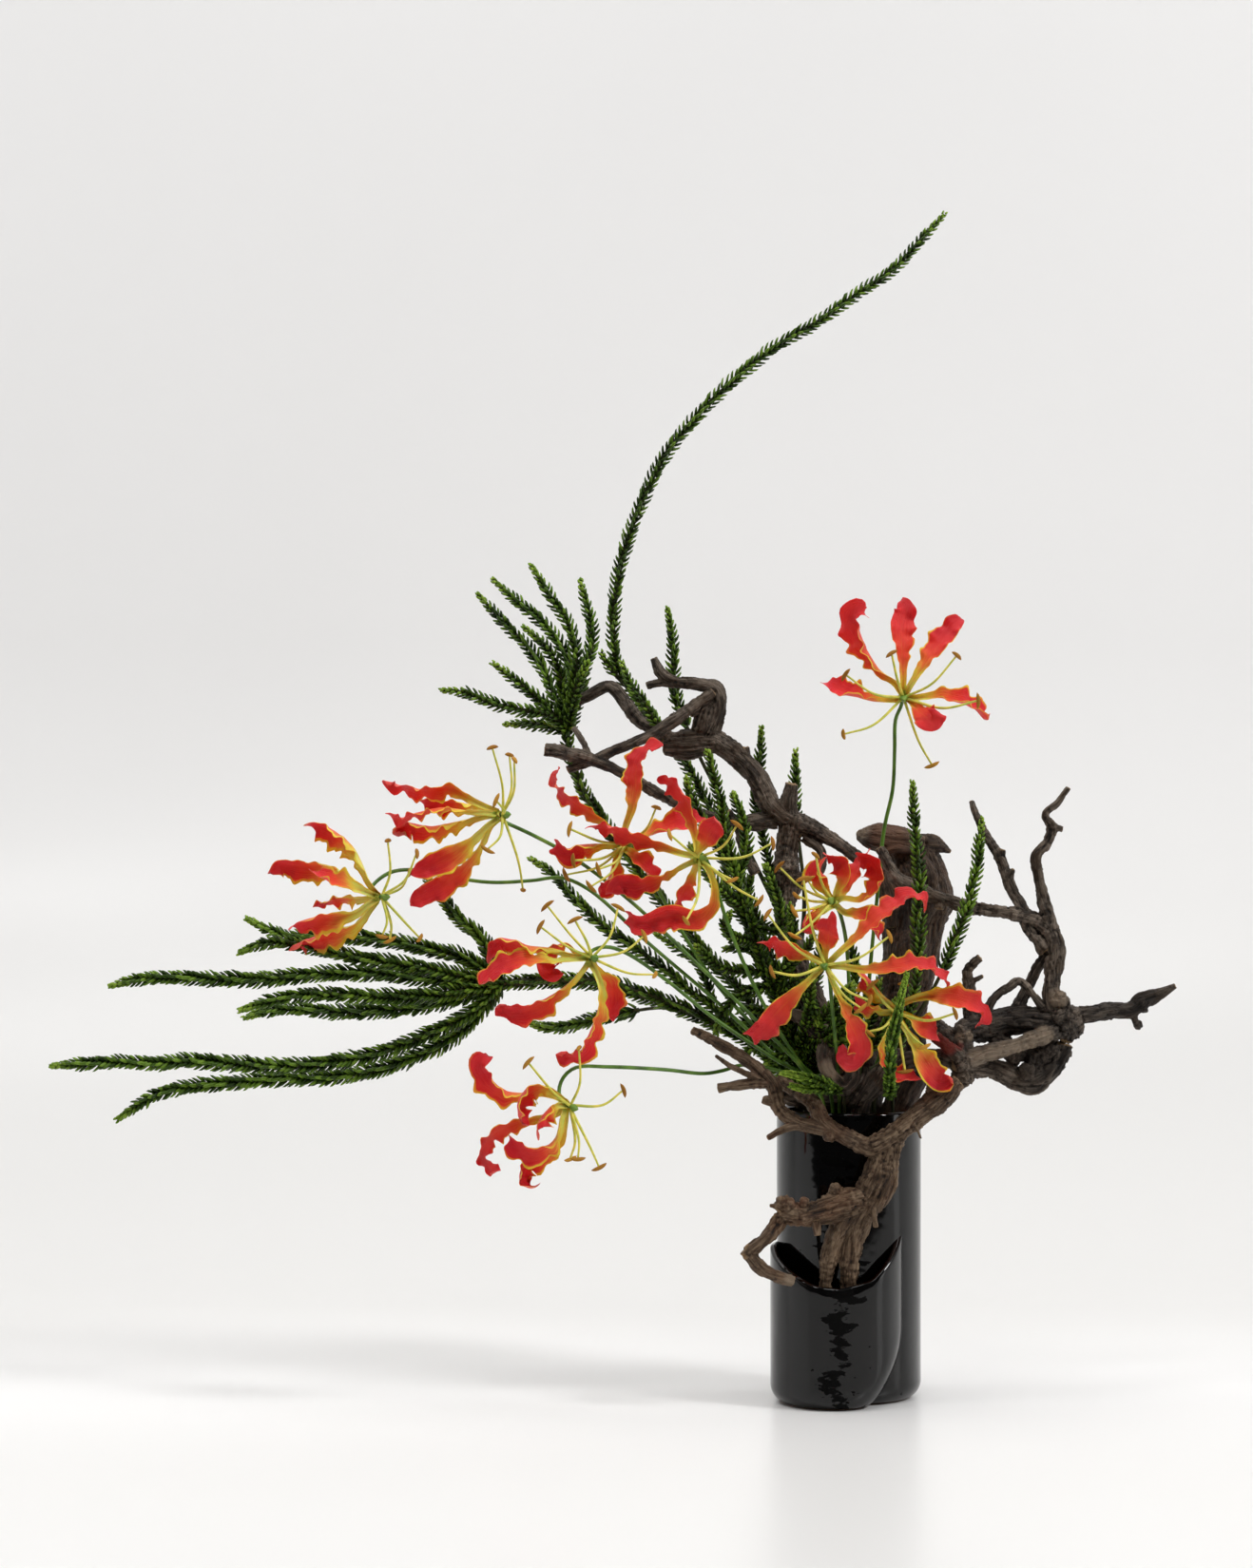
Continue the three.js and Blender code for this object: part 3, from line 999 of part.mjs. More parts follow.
const petalForms = BLOOMS.map((bloom, k) => petals(bloom, `bloom_${k + 1}_petals`));
const stemForms = BLOOMS.map((bloom, k) => bloomStem(bloom, `bloom_${k + 1}_stem`));
const sprayForms = Object.entries(SPRAYS).map(([name, form]) => [name, spray(name, form)]);
cores.forEach((grow) => grow());
sprayForms.forEach(([name, finish]) => add(name, finish(), 0x2a4a1c, 0.6));
petalForms.forEach((form, k) => add(`bloom_${k + 1}_petals`, form, 0xd8302a, 0.5));
stemForms.forEach((form, k) => add(`bloom_${k + 1}_stem`, form, 0x4a6a24, 0.5));

const waterStems = [
  ...BLOOMS.map((bloom) => [bloom.mouth, PEDICEL_RADIUS + 0.9]),
  ...Object.values(SPRAYS).map((form) => [form.mouth, form.stemRadii.at(-1) * 1.25 + 0.8]),
];
add('water', water(waterStems), 0xcfd8d4, 0.05);

export default group;
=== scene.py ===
# %% [markdown]
# # An ikebana arrangement in a black vase
#
# A tall black vase with a lower pocket in front holds weathered driftwood, long
# needle-leaved shoots and ten flame lilies. This lesson dresses a imported CAD model: the
# solids say where everything is, and each cell below replaces one kind of solid with a
# finished surface that is worked out with numpy.
#
# The frame comes first: the model is imported, and each solid keeps its place in its own mesh.
# The finished piece may not outgrow it.

import bpy
import numpy as np
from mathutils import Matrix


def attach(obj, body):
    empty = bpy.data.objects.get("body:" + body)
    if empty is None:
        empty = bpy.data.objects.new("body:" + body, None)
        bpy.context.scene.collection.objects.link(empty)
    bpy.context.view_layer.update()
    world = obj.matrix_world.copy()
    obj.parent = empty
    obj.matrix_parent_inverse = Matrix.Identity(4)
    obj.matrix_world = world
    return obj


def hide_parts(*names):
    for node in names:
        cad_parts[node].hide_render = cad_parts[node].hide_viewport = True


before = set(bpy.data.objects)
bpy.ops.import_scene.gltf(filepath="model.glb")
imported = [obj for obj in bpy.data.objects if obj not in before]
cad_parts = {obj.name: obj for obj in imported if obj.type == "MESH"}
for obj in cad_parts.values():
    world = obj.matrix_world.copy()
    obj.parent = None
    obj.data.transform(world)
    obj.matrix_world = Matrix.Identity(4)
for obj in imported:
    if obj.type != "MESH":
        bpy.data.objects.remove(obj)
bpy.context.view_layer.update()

# %% [markdown]
# ## The view
#
# Every route in this lesson is drawn as on a picture of the arrangement: u to the right,
# v down, and how far towards the viewer the point lies. One could type metres instead, but
# a picture is how an arranger plans the lines. The camera stands level, far off, at the
# eye that the picture was drawn for, so its lens is a long one.

# %% Places and the camera
EYE = np.array([-0.1638, -2.7, 0.45])  # metres: level, and far in front
UNIT = 0.0007  # one picture unit at the vase, in metres
CENTRE_U, CENTRE_V = 659, 824.5
PICTURE_HEIGHT = 1649
SENSOR = 36  # millimetres, the longer side of the camera's sensor
MM = 0.001


def at(places):
    """x, y, z in metres of places [u, v, towards]: the offset from the picture's centre
    times the size of a unit there, which shrinks as the place comes nearer to the eye."""
    u, v, towards = np.asarray(places, float).reshape(-1, 3).T
    size = UNIT * (1 + towards * MM / EYE[1])
    return np.stack([EYE[0] + (u - CENTRE_U) * size, -towards * MM,
                     EYE[2] - (v - CENTRE_V) * size], axis=1)


def numbers(text):
    """All the numbers of a text, in one row."""
    return np.array(text.replace(",", " ").split(), float)


def routes(text):
    """Reads lines of the form 'u v towards, u v towards, ... | radii;' as pairs."""
    pairs = [(part + "|").split("|")[:2] for part in text.split(";") if part.strip()]
    return [(numbers(route).reshape(-1, 3), numbers(rest)) for route, rest in pairs]


lens = bpy.data.cameras.new("eye")
lens.sensor_width = SENSOR
lens.lens = SENSOR * -EYE[1] / (UNIT * PICTURE_HEIGHT)
lens.clip_end = 30
camera = bpy.data.objects.new("eye", lens)
camera.location = EYE
camera.rotation_euler = (np.pi / 2, 0, 0)
bpy.context.scene.collection.objects.link(camera)
bpy.context.scene.camera = camera
print(f"lens {lens.lens:.1f} mm")

# %% [markdown]
# ## Making surfaces
#
# Blender stores a mesh as flat lists: the places of its points, and the corners of its
# faces. Adding points one by one is slow, so whole numpy arrays go in at once. Marks are
# numbers that each point keeps for the materials, such as how far along a petal it lies.

# %% Meshes and marks
def link(mesh, name):
    """Makes an object of a mesh, at the origin, and puts it in the scene."""
    piece = bpy.data.objects.new(name, mesh)
    bpy.context.scene.collection.objects.link(piece)
    return piece


def mark(mesh, name, values):
    """Stores one number or one vector for each point of a mesh."""
    values = np.asarray(values, np.float32)
    vector = values.ndim == 2
    layer = mesh.attributes.new(name, "FLOAT_VECTOR" if vector else "FLOAT", "POINT")
    layer.data.foreach_set("vector" if vector else "value", values.ravel())


def build_mesh(name, points, corners, sizes):
    """A mesh from points, one flat list of corners, and each face's number of corners."""
    mesh = bpy.data.meshes.new(name)
    mesh.vertices.add(len(points))
    mesh.vertices.foreach_set("co", np.asarray(points, np.float32).ravel())
    mesh.loops.add(len(corners))
    mesh.loops.foreach_set("vertex_index", np.asarray(corners, np.int32))
    mesh.polygons.add(len(sizes))
    starts = np.concatenate([[0], np.cumsum(sizes)[:-1]])
    mesh.polygons.foreach_set("loop_start", starts.astype(np.int32))
    mesh.polygons.foreach_set("use_smooth", np.ones(len(sizes), bool))
    mesh.update(calc_edges=True)
    return mesh


def points_of(mesh, kind="vertices", field="co"):
    """Each point's place, or with other words its normal, as one row of three numbers."""
    rows = getattr(mesh, kind)
    values = np.empty(len(rows) * 3, np.float32)
    rows.foreach_get(field, values)
    return values.reshape(-1, 3).astype(float)


flat = build_mesh("flat", [[0, 0, 0], [1, 0, 0], [1, 1, 0], [0, 1, 0]], [0, 1, 2, 3], [4])
print("a first mesh:", len(flat.vertices), "points,", len(flat.edges), "edges")
bpy.data.meshes.remove(flat)

# %% [markdown]
# A surface is a grid of points: each row is a ring round the piece, and rows follow each
# other along it. A Skin gathers the grids of one piece before they become a mesh, because a
# piece such as a bloom is made of many closed grids.

# %% Skins
class Skin:
    """Gathers grids of points, with their faces, marks and finishes, for one piece."""

    def __init__(self):
        self.points, self.faces, self.marks, self.finishes = [], [], {}, []
        self.count = 0

    def take(self, points, faces, finish=0, **marks):
        """Adds points, lists of faces that count from them, and one finish for them all."""
        points = np.asarray(points, float).reshape(-1, 3)
        self.points.append(points)
        for face_list in faces:
            self.faces.append(face_list + self.count)
            self.finishes.append(np.full(len(face_list), finish))
        for name, values in marks.items():
            full = np.broadcast_to(values, (len(points),) + np.shape(values)[1:])
            self.marks.setdefault(name, []).append(np.array(full, float))
        self.count += len(points)

    def grid(self, rows, close_ends=True, finish=0, **marks):
        """A grid of rings (rows, round the ring, xyz). Each cell between two rings is one
        face. A ring's last point joins its first. A fan closes each end, or else the last
        ring joins the first."""
        count, round_it = rows.shape[:2]
        first = np.arange(count * round_it).reshape(count, round_it)
        after = np.roll(first, -1, axis=1)
        cells = np.stack([first, after, np.roll(after, -1, axis=0),
                          np.roll(first, -1, axis=0)], axis=-1)
        faces = [(cells[:-1] if close_ends else cells).reshape(-1, 4)]
        points = rows.reshape(-1, 3)
        marks = {name: np.broadcast_to(values, (count, round_it) + np.shape(values)[2:])
                 .reshape((count * round_it,) + np.shape(values)[2:])
                 for name, values in marks.items()}
        if close_ends:
            middles = rows[[0, -1]].mean(axis=1)
            points = np.concatenate([points, middles])
            low, high = count * round_it, count * round_it + 1
            faces.append(np.stack([after[0], first[0], np.full(round_it, low)], axis=1))
            faces.append(np.stack([first[-1], after[-1], np.full(round_it, high)], axis=1))
            marks = {name: np.concatenate([values, values[[0, -1]]])
                     for name, values in marks.items()}
        self.take(points, faces, finish, **marks)

    def piece(self, name):
        """The mesh and the object of all that was gathered."""
        mesh = build_mesh(name, np.concatenate(self.points),
                          np.concatenate([faces.ravel() for faces in self.faces]),
                          np.concatenate([np.full(len(f), f.shape[1]) for f in self.faces]))
        mesh.polygons.foreach_set("material_index",
                                  np.concatenate(self.finishes).astype(np.int32))
        for label, values in self.marks.items():
            mark(mesh, label, np.concatenate(values))
        return link(mesh, name)


def finish_piece(piece, slot, nodes, *materials):
    """Gives a piece its materials, hangs it from the root body, hides the solids that it
    stands for, and prints its size.
    """
    for material in materials:
        piece.data.materials.append(material)
    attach(piece, "root")
    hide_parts(*nodes)
    points = points_of(piece.data) / MM
    print(piece.name, len(piece.data.vertices), "points", len(piece.data.polygons), "faces",
          points.min(axis=0).round().astype(int), points.max(axis=0).round().astype(int), "mm")


# %% [markdown]
# ## Lines and tubes
#
# Stems, limbs and petals all follow a smooth line through a few places. A Catmull-Rom
# curve passes through every place, and does not overshoot where they are close, so the
# arranger's points stay true. Bezier handles would need two more places for each point.

# %% Smooth lines
TRIALS = 24  # points tried for each knot, to measure a line


def smooth_line(knots, s):
    """Points of a centripetal Catmull-Rom curve at s, from 0 at its first knot to 1 at its
    last. Between two knots it is a cubic whose end slopes come from their neighbours."""
    knots = np.asarray(knots, float)
    knots = np.concatenate([[2 * knots[0] - knots[1]], knots, [2 * knots[-1] - knots[-2]]])
    place = np.clip(s, 0, 1) * (len(knots) - 3)
    span = np.minimum(place.astype(int), len(knots) - 4)
    t = (place - span)[:, None]
    gaps = np.linalg.norm(np.diff(knots, axis=0), axis=1)[:, None] ** 0.5 + 1e-9
    a, b, c, d = (knots[span + k] for k in range(4))
    ab, bc, cd = (gaps[span + k] for k in range(3))
    start = ((b - a) / ab - (c - a) / (ab + bc) + (c - b) / bc) * bc
    end = ((c - b) / bc - (d - b) / (bc + cd) + (d - c) / cd) * bc
    return (b + start * t + (3 * (c - b) - 2 * start - end) * t**2
            + (2 * (b - c) + start + end) * t**3)


def evenly(knots, step):
    """Points about one step apart along the line, the s of each, and the distance run."""
    s = np.linspace(0, 1, TRIALS * len(knots))
    line = smooth_line(knots, s)
    run = np.concatenate([[0], np.cumsum(np.linalg.norm(np.diff(line, axis=0), axis=1))])
    count = max(3, int(round(run[-1] / step)) + 1)
    distance = np.linspace(0, run[-1], count)
    s = np.interp(distance, run, s)
    return smooth_line(knots, s), s, distance


def unit(vectors):
    """The vectors, each divided by its length."""
    return vectors / np.maximum(np.linalg.norm(vectors, axis=-1, keepdims=True), 1e-12)


def directions(line):
    """Forward, side and up at each point: side is the world axis that the line follows
    least, less its part along the line, and up is at right angles to both."""
    forward = unit(np.gradient(line, axis=0))
    axis = np.eye(3)[np.abs(forward).max(axis=0).argmin()]
    side = unit(axis - (forward @ axis)[:, None] * forward)
    return forward, side, np.cross(forward, side)


def along(values, s):
    """Values that stand evenly from s = 0 to s = 1, read off in between."""
    return np.interp(s, np.linspace(0, 1, len(values)), values)


elbow, _, distance = evenly([[0, 0, 0], [0.1, 0, 0], [0.1, 0, 0.1]], 0.01)
print("a bend of", len(elbow), "points,", round(distance[-1] / MM), "mm long")

# %% [markdown]
# A tube is a circle carried along such a line. Two directions at right angles to the line
# span the circle, and the same two lines of maths serve needles, hubs and stems.

# %% Circles and tubes
def full_turn(count):
    """The angles of a full turn, without its end, which is its start again."""
    return np.linspace(0, 2 * np.pi, count, endpoint=False)


def about(side, up, turn):
    """Directions round a line: side cos a + up sin a, a row for each angle a."""
    return np.cos(turn)[:, None] * side + np.sin(turn)[:, None] * up


def turned(first, second, angle):
    """Two directions turned in their own plane: the first towards the second."""
    return (first * np.cos(angle) + second * np.sin(angle),
            second * np.cos(angle) - first * np.sin(angle))


def tube(line, radius, round_it):
    """Rings about a line: point plus radius times (side cos a + up sin a). The radius is a
    number for each point, or one for each point and angle."""
    _, side, up = directions(line)
    radius = np.asarray(radius, float)
    radius = radius[:, None] if radius.ndim < 2 else radius
    ring = about(side[:, None], up[:, None], full_turn(round_it))
    return line[:, None] + radius[..., None] * ring


print("a tube round it:", tube(elbow, 0.01 + 0 * distance, 8).shape, "rings, points, xyz")


# %% [markdown]
# Nothing that grew is even. Value noise gives a smooth random number at any place: random
# numbers on a lattice, blended between its eight nearest points. Stretching the lattice
# along one axis turns it into grain.

# %% Noise
CELL_STEPS = np.array([73856093, 19349663, 83492791])  # large primes scatter the cells
SEED_STEP, MIXER = 2654435761, 1274126177


def lattice(cells, seed):
    """A random number from 0 to 1 for each whole-numbered cell, by mixing its bits."""
    cells = cells.astype(np.int64)
    mixed = cells @ CELL_STEPS + seed * SEED_STEP
    mixed = (mixed ^ (mixed >> 13)) * MIXER & 0xFFFFFFFF
    return ((mixed ^ (mixed >> 16)) & 0xFFFF) / 65535


def noise(places, seed=0):
    """Smooth noise from -1 to 1: the lattice numbers at the corners of the cell, blended
    with weights that ease in and out along each axis."""
    low = np.floor(places)
    part = places - low
    ease = part * part * (3 - 2 * part)
    total = 0
    for corner in np.ndindex(2, 2, 2):
        corner = np.array(corner)
        weight = np.prod(np.where(corner, ease, 1 - ease), axis=-1)
        total = total + weight * lattice(low + corner, seed)
    return 2 * total - 1


def layered(places, seed=0, layers=3):
    """Noise plus half as much at twice the pitch, and so on."""
    return sum(noise(places * 2**k, seed + k) / 2**k for k in range(layers))


rng = np.random.default_rng(5)
places = np.array([[0.2, 1, 2], [3, 4.4, 5], [7, 8, 9.9]])
print("noise at three places:", np.round(noise(places), 3))

# %% [markdown]
# ## Writing materials as sums
#
# A material is a sheet of nodes. Wiring each by hand hides the idea, so a Wire wraps one
# output and takes + - * as Math nodes. Everything else goes through one method, which
# sets a node's settings first and then its inputs.

# %% The Wire
class Wire:
    """One output of a node. Sums of Wires and numbers add Math nodes."""

    def __init__(self, sheet, socket):
        self.sheet, self.socket = sheet, socket

    def maths(self, operation, *others):
        """A Math node of this Wire and the others."""
        values = dict(enumerate((self,) + others))
        return self.sheet.node("ShaderNodeMath", {"operation": operation}, values)

    def __add__(self, other): return self.maths("ADD", other)
    def __radd__(self, other): return self.maths("ADD", other)
    def __sub__(self, other): return self.maths("SUBTRACT", other)
    def __rsub__(self, other): return (self * -1).maths("ADD", other)
    def __mul__(self, other): return self.maths("MULTIPLY", other)
    def __rmul__(self, other): return self.maths("MULTIPLY", other)

    def between(self, low, high):
        """0 below low, 1 above high, and eased in between."""
        return self.sheet.node("ShaderNodeMapRange", {"interpolation_type": "SMOOTHSTEP"},
                               {0: self, 1: low, 2: high})


def paint(code):
    """A colour from its web code, as light: each part to the power 2.2."""
    return tuple((int(code[k:k + 2], 16) / 255) ** 2.2 for k in (0, 2, 4))


print("paint of 808080:", np.round(paint("808080"), 3))

# %% [markdown]
# A Sheet is one material. Its methods are the few kinds of node that the finishes need:
# a mark of the mesh, a place in the room, a speckle, a ramp of colours, one colour over
# another, and a bump. Patterns read a place or a mark, so they stay on the piece.

# %% The Sheet
class Sheet:
    """A material and its nodes."""

    def __init__(self, name, **shader):
        self.material = bpy.data.materials.new(name)
        self.material.use_nodes = True
        self.tree = self.material.node_tree
        self.shader = self.tree.nodes["Principled BSDF"]
        for key, value in shader.items():
            self.set(key.replace("_", " "), value)

    def set(self, socket, value):
        """Sets one socket of the shader, to a number, a colour or a Wire."""
        self.plug(self.shader.inputs[socket], value)

    def plug(self, socket, value):
        """Links a Wire to a socket, or gives the socket a plain value."""
        if isinstance(value, Wire):
            self.tree.links.new(value.socket, socket)
        elif socket.type == "RGBA":
            socket.default_value = (*value, 1)
        else:
            socket.default_value = value

    def node(self, kind, settings=None, values=None, out=0):
        """Adds a node: its settings or its ramp's stops first, and then its inputs."""
        added = self.tree.nodes.new(kind)
        for name, setting in (settings or {}).items():
            if name == "stops":
                ramp = added.color_ramp.elements
                while len(ramp) < len(setting):
                    ramp.new(1)
                for stop, (place, colour) in zip(ramp, setting):
                    stop.position, stop.color = place, (*colour, 1)
            else:
                setattr(added, name, setting)
        for name, value in (values or {}).items():
            self.plug(added.inputs[name], value)
        return Wire(self, added.outputs[out])

    def number(self, name):
        """A mark of the mesh: one number for each point."""
        return self.node("ShaderNodeAttribute", {"attribute_name": name}, out="Fac")

    def vector(self, name):
        """A mark of the mesh: one vector for each point."""
        return self.node("ShaderNodeAttribute", {"attribute_name": name}, out="Vector")

    def place(self):
        """The point's place on the object, in metres."""
        return self.node("ShaderNodeTexCoord", out="Object")

    def part(self, vector, axis):
        """The X, Y or Z of a vector."""
        return self.node("ShaderNodeSeparateXYZ", None, {0: vector}, out=axis)

    def stretched(self, place, scale):
        """A place, times a number for each axis: a larger number packs a pattern closer."""
        return self.node("ShaderNodeMapping", None, {"Vector": place, "Scale": scale})

    def speckle(self, place, scale, detail=2.0, rough=0.5, bend=0.0):
        """Soft noise: scale lumps to a metre, with detail finer layers on top."""
        values = {"Vector": place, "Scale": scale, "Detail": detail, "Roughness": rough,
                  "Distortion": bend}
        return self.node("ShaderNodeTexNoise", None, values)

    def blend(self, amount, first, second):
        """One colour over another: first where amount is 0, second where it is 1."""
        return self.node("ShaderNodeMix", {"data_type": "RGBA"},
                         {0: amount, 6: first, 7: second}, 2)

    def ramp(self, value, *stops):
        """Colours by a value: each stop is a value and its colour."""
        return self.node("ShaderNodeValToRGB", {"stops": stops}, {0: value})

    def bump(self, height, distance, strength):
        """A normal that tilts as if the surface stood up by height times distance."""
        values = {"Height": height, "Distance": distance, "Strength": strength}
        return self.node("ShaderNodeBump", None, values)

    def cover(self, amount, other):
        """Lays another shader over the sheet's own, as thickly as the amount says."""
        mix = self.node("ShaderNodeMixShader", None, {0: amount}).socket
        self.tree.links.new(self.shader.outputs[0], mix.node.inputs[1])
        self.tree.links.new(other.socket, mix.node.inputs[2])
        self.tree.links.new(mix, self.tree.nodes["Material Output"].inputs["Surface"])


trial = Sheet("trial")
trial.set("Roughness", 1 - trial.speckle(trial.place(), 10) * 0.5)
print("one sum of wires:", len(trial.tree.nodes), "nodes")
bpy.data.materials.remove(trial.material)

# %% [markdown]
# ## The studio
#
# The arrangement stands on a white sweep: a floor that curves up into a wall, so that no
# line shows behind it. The sweep is seen through from its back, so that the arrangement
# can be looked at from all sides.

# %% The sweep
FLOOR_FRONT, FLOOR_BACK, SWEEP_RADIUS = -0.8, 0.5, 0.6  # metres
WALL_TOP, HALF_SPAN = 5, 6.0


def sweep():
    """Floor, a quarter of a circle and wall: y = back + r sin a and z = r (1 - cos a)."""
    bend = np.linspace(0, np.pi / 2, 24)[1:]
    y = np.concatenate([[FLOOR_FRONT, FLOOR_BACK], FLOOR_BACK + SWEEP_RADIUS * np.sin(bend),
                        [FLOOR_BACK + SWEEP_RADIUS]])
    z = np.concatenate([[0, 0], SWEEP_RADIUS * (1 - np.cos(bend)), [WALL_TOP]])
    x = np.array([-HALF_SPAN, HALF_SPAN])
    rows = np.stack([np.broadcast_to(x, (len(y), 2)), np.repeat(y[:, None], 2, 1),
                     np.repeat(z[:, None], 2, 1)], axis=-1)
    first = np.arange(len(y) * 2).reshape(-1, 2)
    cells = np.stack([first[:-1, 0], first[:-1, 1], first[1:, 1], first[1:, 0]], axis=-1)
    return link(build_mesh("sweep", rows.reshape(-1, 3), cells.ravel(),
                           np.full(len(cells), 4)), "sweep")


def sweep_paint():
    """White paper, with painted shade: a little darker towards the viewer and where the
    floor bends up.
    """
    sheet = Sheet("sweep paint", Specular_IOR_Level=0.35)
    cloud = sheet.speckle(sheet.place(), 1.1, 2, 0.45)
    white = sheet.ramp(cloud, (0.3, paint("f1f0ef")), (0.7, paint("f6f5f4")))
    away, height = sheet.part(sheet.place(), "Y"), sheet.part(sheet.place(), "Z")
    # painted shade: the paper is darkened where the floor bends up and towards the viewer
    bend_painted_shade = away.between(0.05, 0.5) * (1 - height.between(0.05, 0.65))
    near = (away * -1).between(-0.05, 0.35)
    white = sheet.blend(near, white, paint("ecebe9"))
    sheet.set("Base Color", sheet.blend(bend_painted_shade, white, paint("e2e1df")))
    sheet.set("Roughness", 0.3)
    behind = sheet.node("ShaderNodeNewGeometry", out="Backfacing")
    sheet.cover(behind, sheet.node("ShaderNodeBsdfTransparent"))
    return sheet.material


backdrop = sweep()
backdrop.data.materials.append(sweep_paint())
print("the sweep has", len(backdrop.data.polygons), "faces")

# %% [markdown]
# The key light, large and soft, stands at the right and in front, and casts the long soft
# shadow to the left. The boxes at either side draw the grey bands on the glaze, and a small
# light from the upper left draws the white glints on its rims. The room in front stays dim,
# which keeps the middle of the vase black. The last light is for the wall alone.

# %% The lights
def light_box(name, place, aim, width, height, watts):
    """A soft box: a lit rectangle at a place, turned so that it faces aim."""
    lamp = bpy.data.lights.new(name, "AREA")
    lamp.shape = "RECTANGLE"
    lamp.size, lamp.size_y, lamp.energy = width, height, watts
    box = bpy.data.objects.new(name, lamp)
    box.location = place
    way = np.array(place, float) - np.array(aim, float)
    flat = np.hypot(way[0], way[1])
    box.rotation_euler = (np.arctan2(flat, way[2]), 0, np.arctan2(way[0], -way[1]))
    bpy.context.scene.collection.objects.link(box)


LIGHTS = [  # name, place, what it faces, width, height, watts
    ("key", (4.4, -2.4, 4.4), (-0.3, 0, 0.2), 1.1, 1.1, 200),
    ("front", (-0.3, -2.4, 3.4), (-0.1, 0, 0.3), 1.6, 0.8, 20),
    ("top", (-0.4, -0.2, 3.4), (-0.1, 0.2, 0), 4.5, 2.6, 18),
    ("left box", (-2.5, -0.6, 1.2), (0, 0, 0.3), 2.2, 2.4, 9),
    ("right box", (2.4, -0.5, 0.9), (0, 0, 0.3), 0.5, 2.0, 6),
    ("lip light", (-1.25, -0.95, 2.7), (0, 0, 0.1), 0.4, 0.4, 9),
    ("wall light", (-1.2, 0.0, 4.2), (-0.6, 1.1, 1.2), 5, 1.2, 62),
]
for light in LIGHTS:
    light_box(*light)

world = bpy.data.worlds.new("room")
bpy.context.scene.world = world
world.use_nodes = True
room = world.node_tree.nodes["Background"]
room.inputs["Color"].default_value = (0.8, 0.8, 0.82, 1)
room.inputs["Strength"].default_value = 0.06
bpy.context.scene.view_settings.view_transform = "Standard"
print(len(LIGHTS), "lights,", sum(light[-1] for light in LIGHTS), "watts")

# %% [markdown]
# ## The vase
#
# The vase is one glazed pot: a tall cylinder, with a lower pocket grown out of its front.
# Both were thrown and cut while soft, so the pocket's rim sweeps down from the cylinder on
# either side, and the pocket's foot is tucked in on the right. A pot is a profile carried
# round an axis. Here the profile's height and its corner depend on the angle, which a
# lathe or a Screw modifier can't do, so the grid is worked out from both.

# %% The vase's shape
WALL, FLOOR = 5, 7  # millimetres of clay
FOOT_INSET = 1.2  # where the flat foot's ring lies, in widths of the corner above it
RIM_BAND = 4  # how far below its crest the rim still counts as edge
WANDER, WANDER_PITCH = 0.35, [0.02, 0.02, 0.012]  # how far the wall strays, lumps per mm


def pot(skin, centre, half, rim, corner, angles, cap):
    """A pot as rings from the foot up the outside, over the rim and down the inside, in
    millimetres. At each angle a ring lies at centre + (half - inset) * (cos, sin). The
    outside corner is a quarter of an ellipse of the given width and height, the rim half a
    circle. The cap holds the points down where the pot passes through another one."""
    width, height = corner
    turn = np.linspace(0, np.pi / 2, 12)[:, None]
    rise = np.linspace(0, 1, 16)[1:, None]
    crest = np.linspace(0, np.pi, 11)[1:, None]
    lip = WALL / 2
    inner_height = np.maximum(height - WALL, 3)
    inset = [FOOT_INSET * width[None], width * (1 - np.sin(turn)), 0 * rise * rim,
             lip * (1 - np.cos(crest)) + 0 * rim, WALL + 0 * rise * rim,
             WALL + width * (1 - np.cos(turn[1:])) + 0 * rim]
    z = [0 * rim[None], height * (1 - np.cos(turn)), height + (rim - lip - height) * rise,
         rim - lip + lip * np.sin(crest),
         rim - lip - (rim - lip - FLOOR - inner_height) * rise,
         FLOOR + inner_height * (1 - np.sin(turn[1:]))]
    inset, z = np.concatenate(inset), np.concatenate(z)
    z = np.minimum(z, cap - 0.5 + 0.5 * z / rim)
    edge = np.clip(1 - (rim - z) / RIM_BAND, 0, 1) * (inset < WALL * 1.2)
    rows = np.stack([centre[0] + (half[0] - inset) * np.cos(angles),
                     centre[1] + (half[1] - inset) * np.sin(angles), z], axis=-1)
    wander = noise(rows * WANDER_PITCH, 3) * WANDER
    ways = np.stack([np.cos(angles), np.sin(angles), 0 * angles], axis=-1)
    rows = rows + wander[..., None] * ways * np.clip(z / 20, 0, 1)[..., None]
    skin.grid(rows * MM, edge=edge)


CYLINDER_RADIUS, CYLINDER_HEIGHT = 53, 212
CORNER_WIDTH, CORNER_HEIGHT = 12, 13
NO_CAP = 300  # above every rim

vase_skin = Skin()
turn = np.radians(np.linspace(0, 360, 192, endpoint=False))
even = np.ones_like(turn)
pot(vase_skin, (0, 0), (CYLINDER_RADIUS, CYLINDER_RADIUS), CYLINDER_HEIGHT * even,
    (CORNER_WIDTH * even, CORNER_HEIGHT * even), turn, NO_CAP)

# the pocket's rim by angle in degrees, and the angles where it meets the cylinder
RIM_ANGLES = [90, 150, 180, 215, 245, 270, 300, 325, 345, 360, 450]
RIM_HEIGHTS = [112, 114, 114, 101, 90.5, 88.5, 94, 110, 125, 134, 112]
LEFT_END, RIGHT_END = 150, 344.5
POCKET_CENTRE, POCKET_HALF = (-10.5, -24), (48.5, 52)
TUCK_ANGLE, TUCK_SPREAD, TUCK_WIDTH, TUCK_HEIGHT = 350, 42, 26, 42

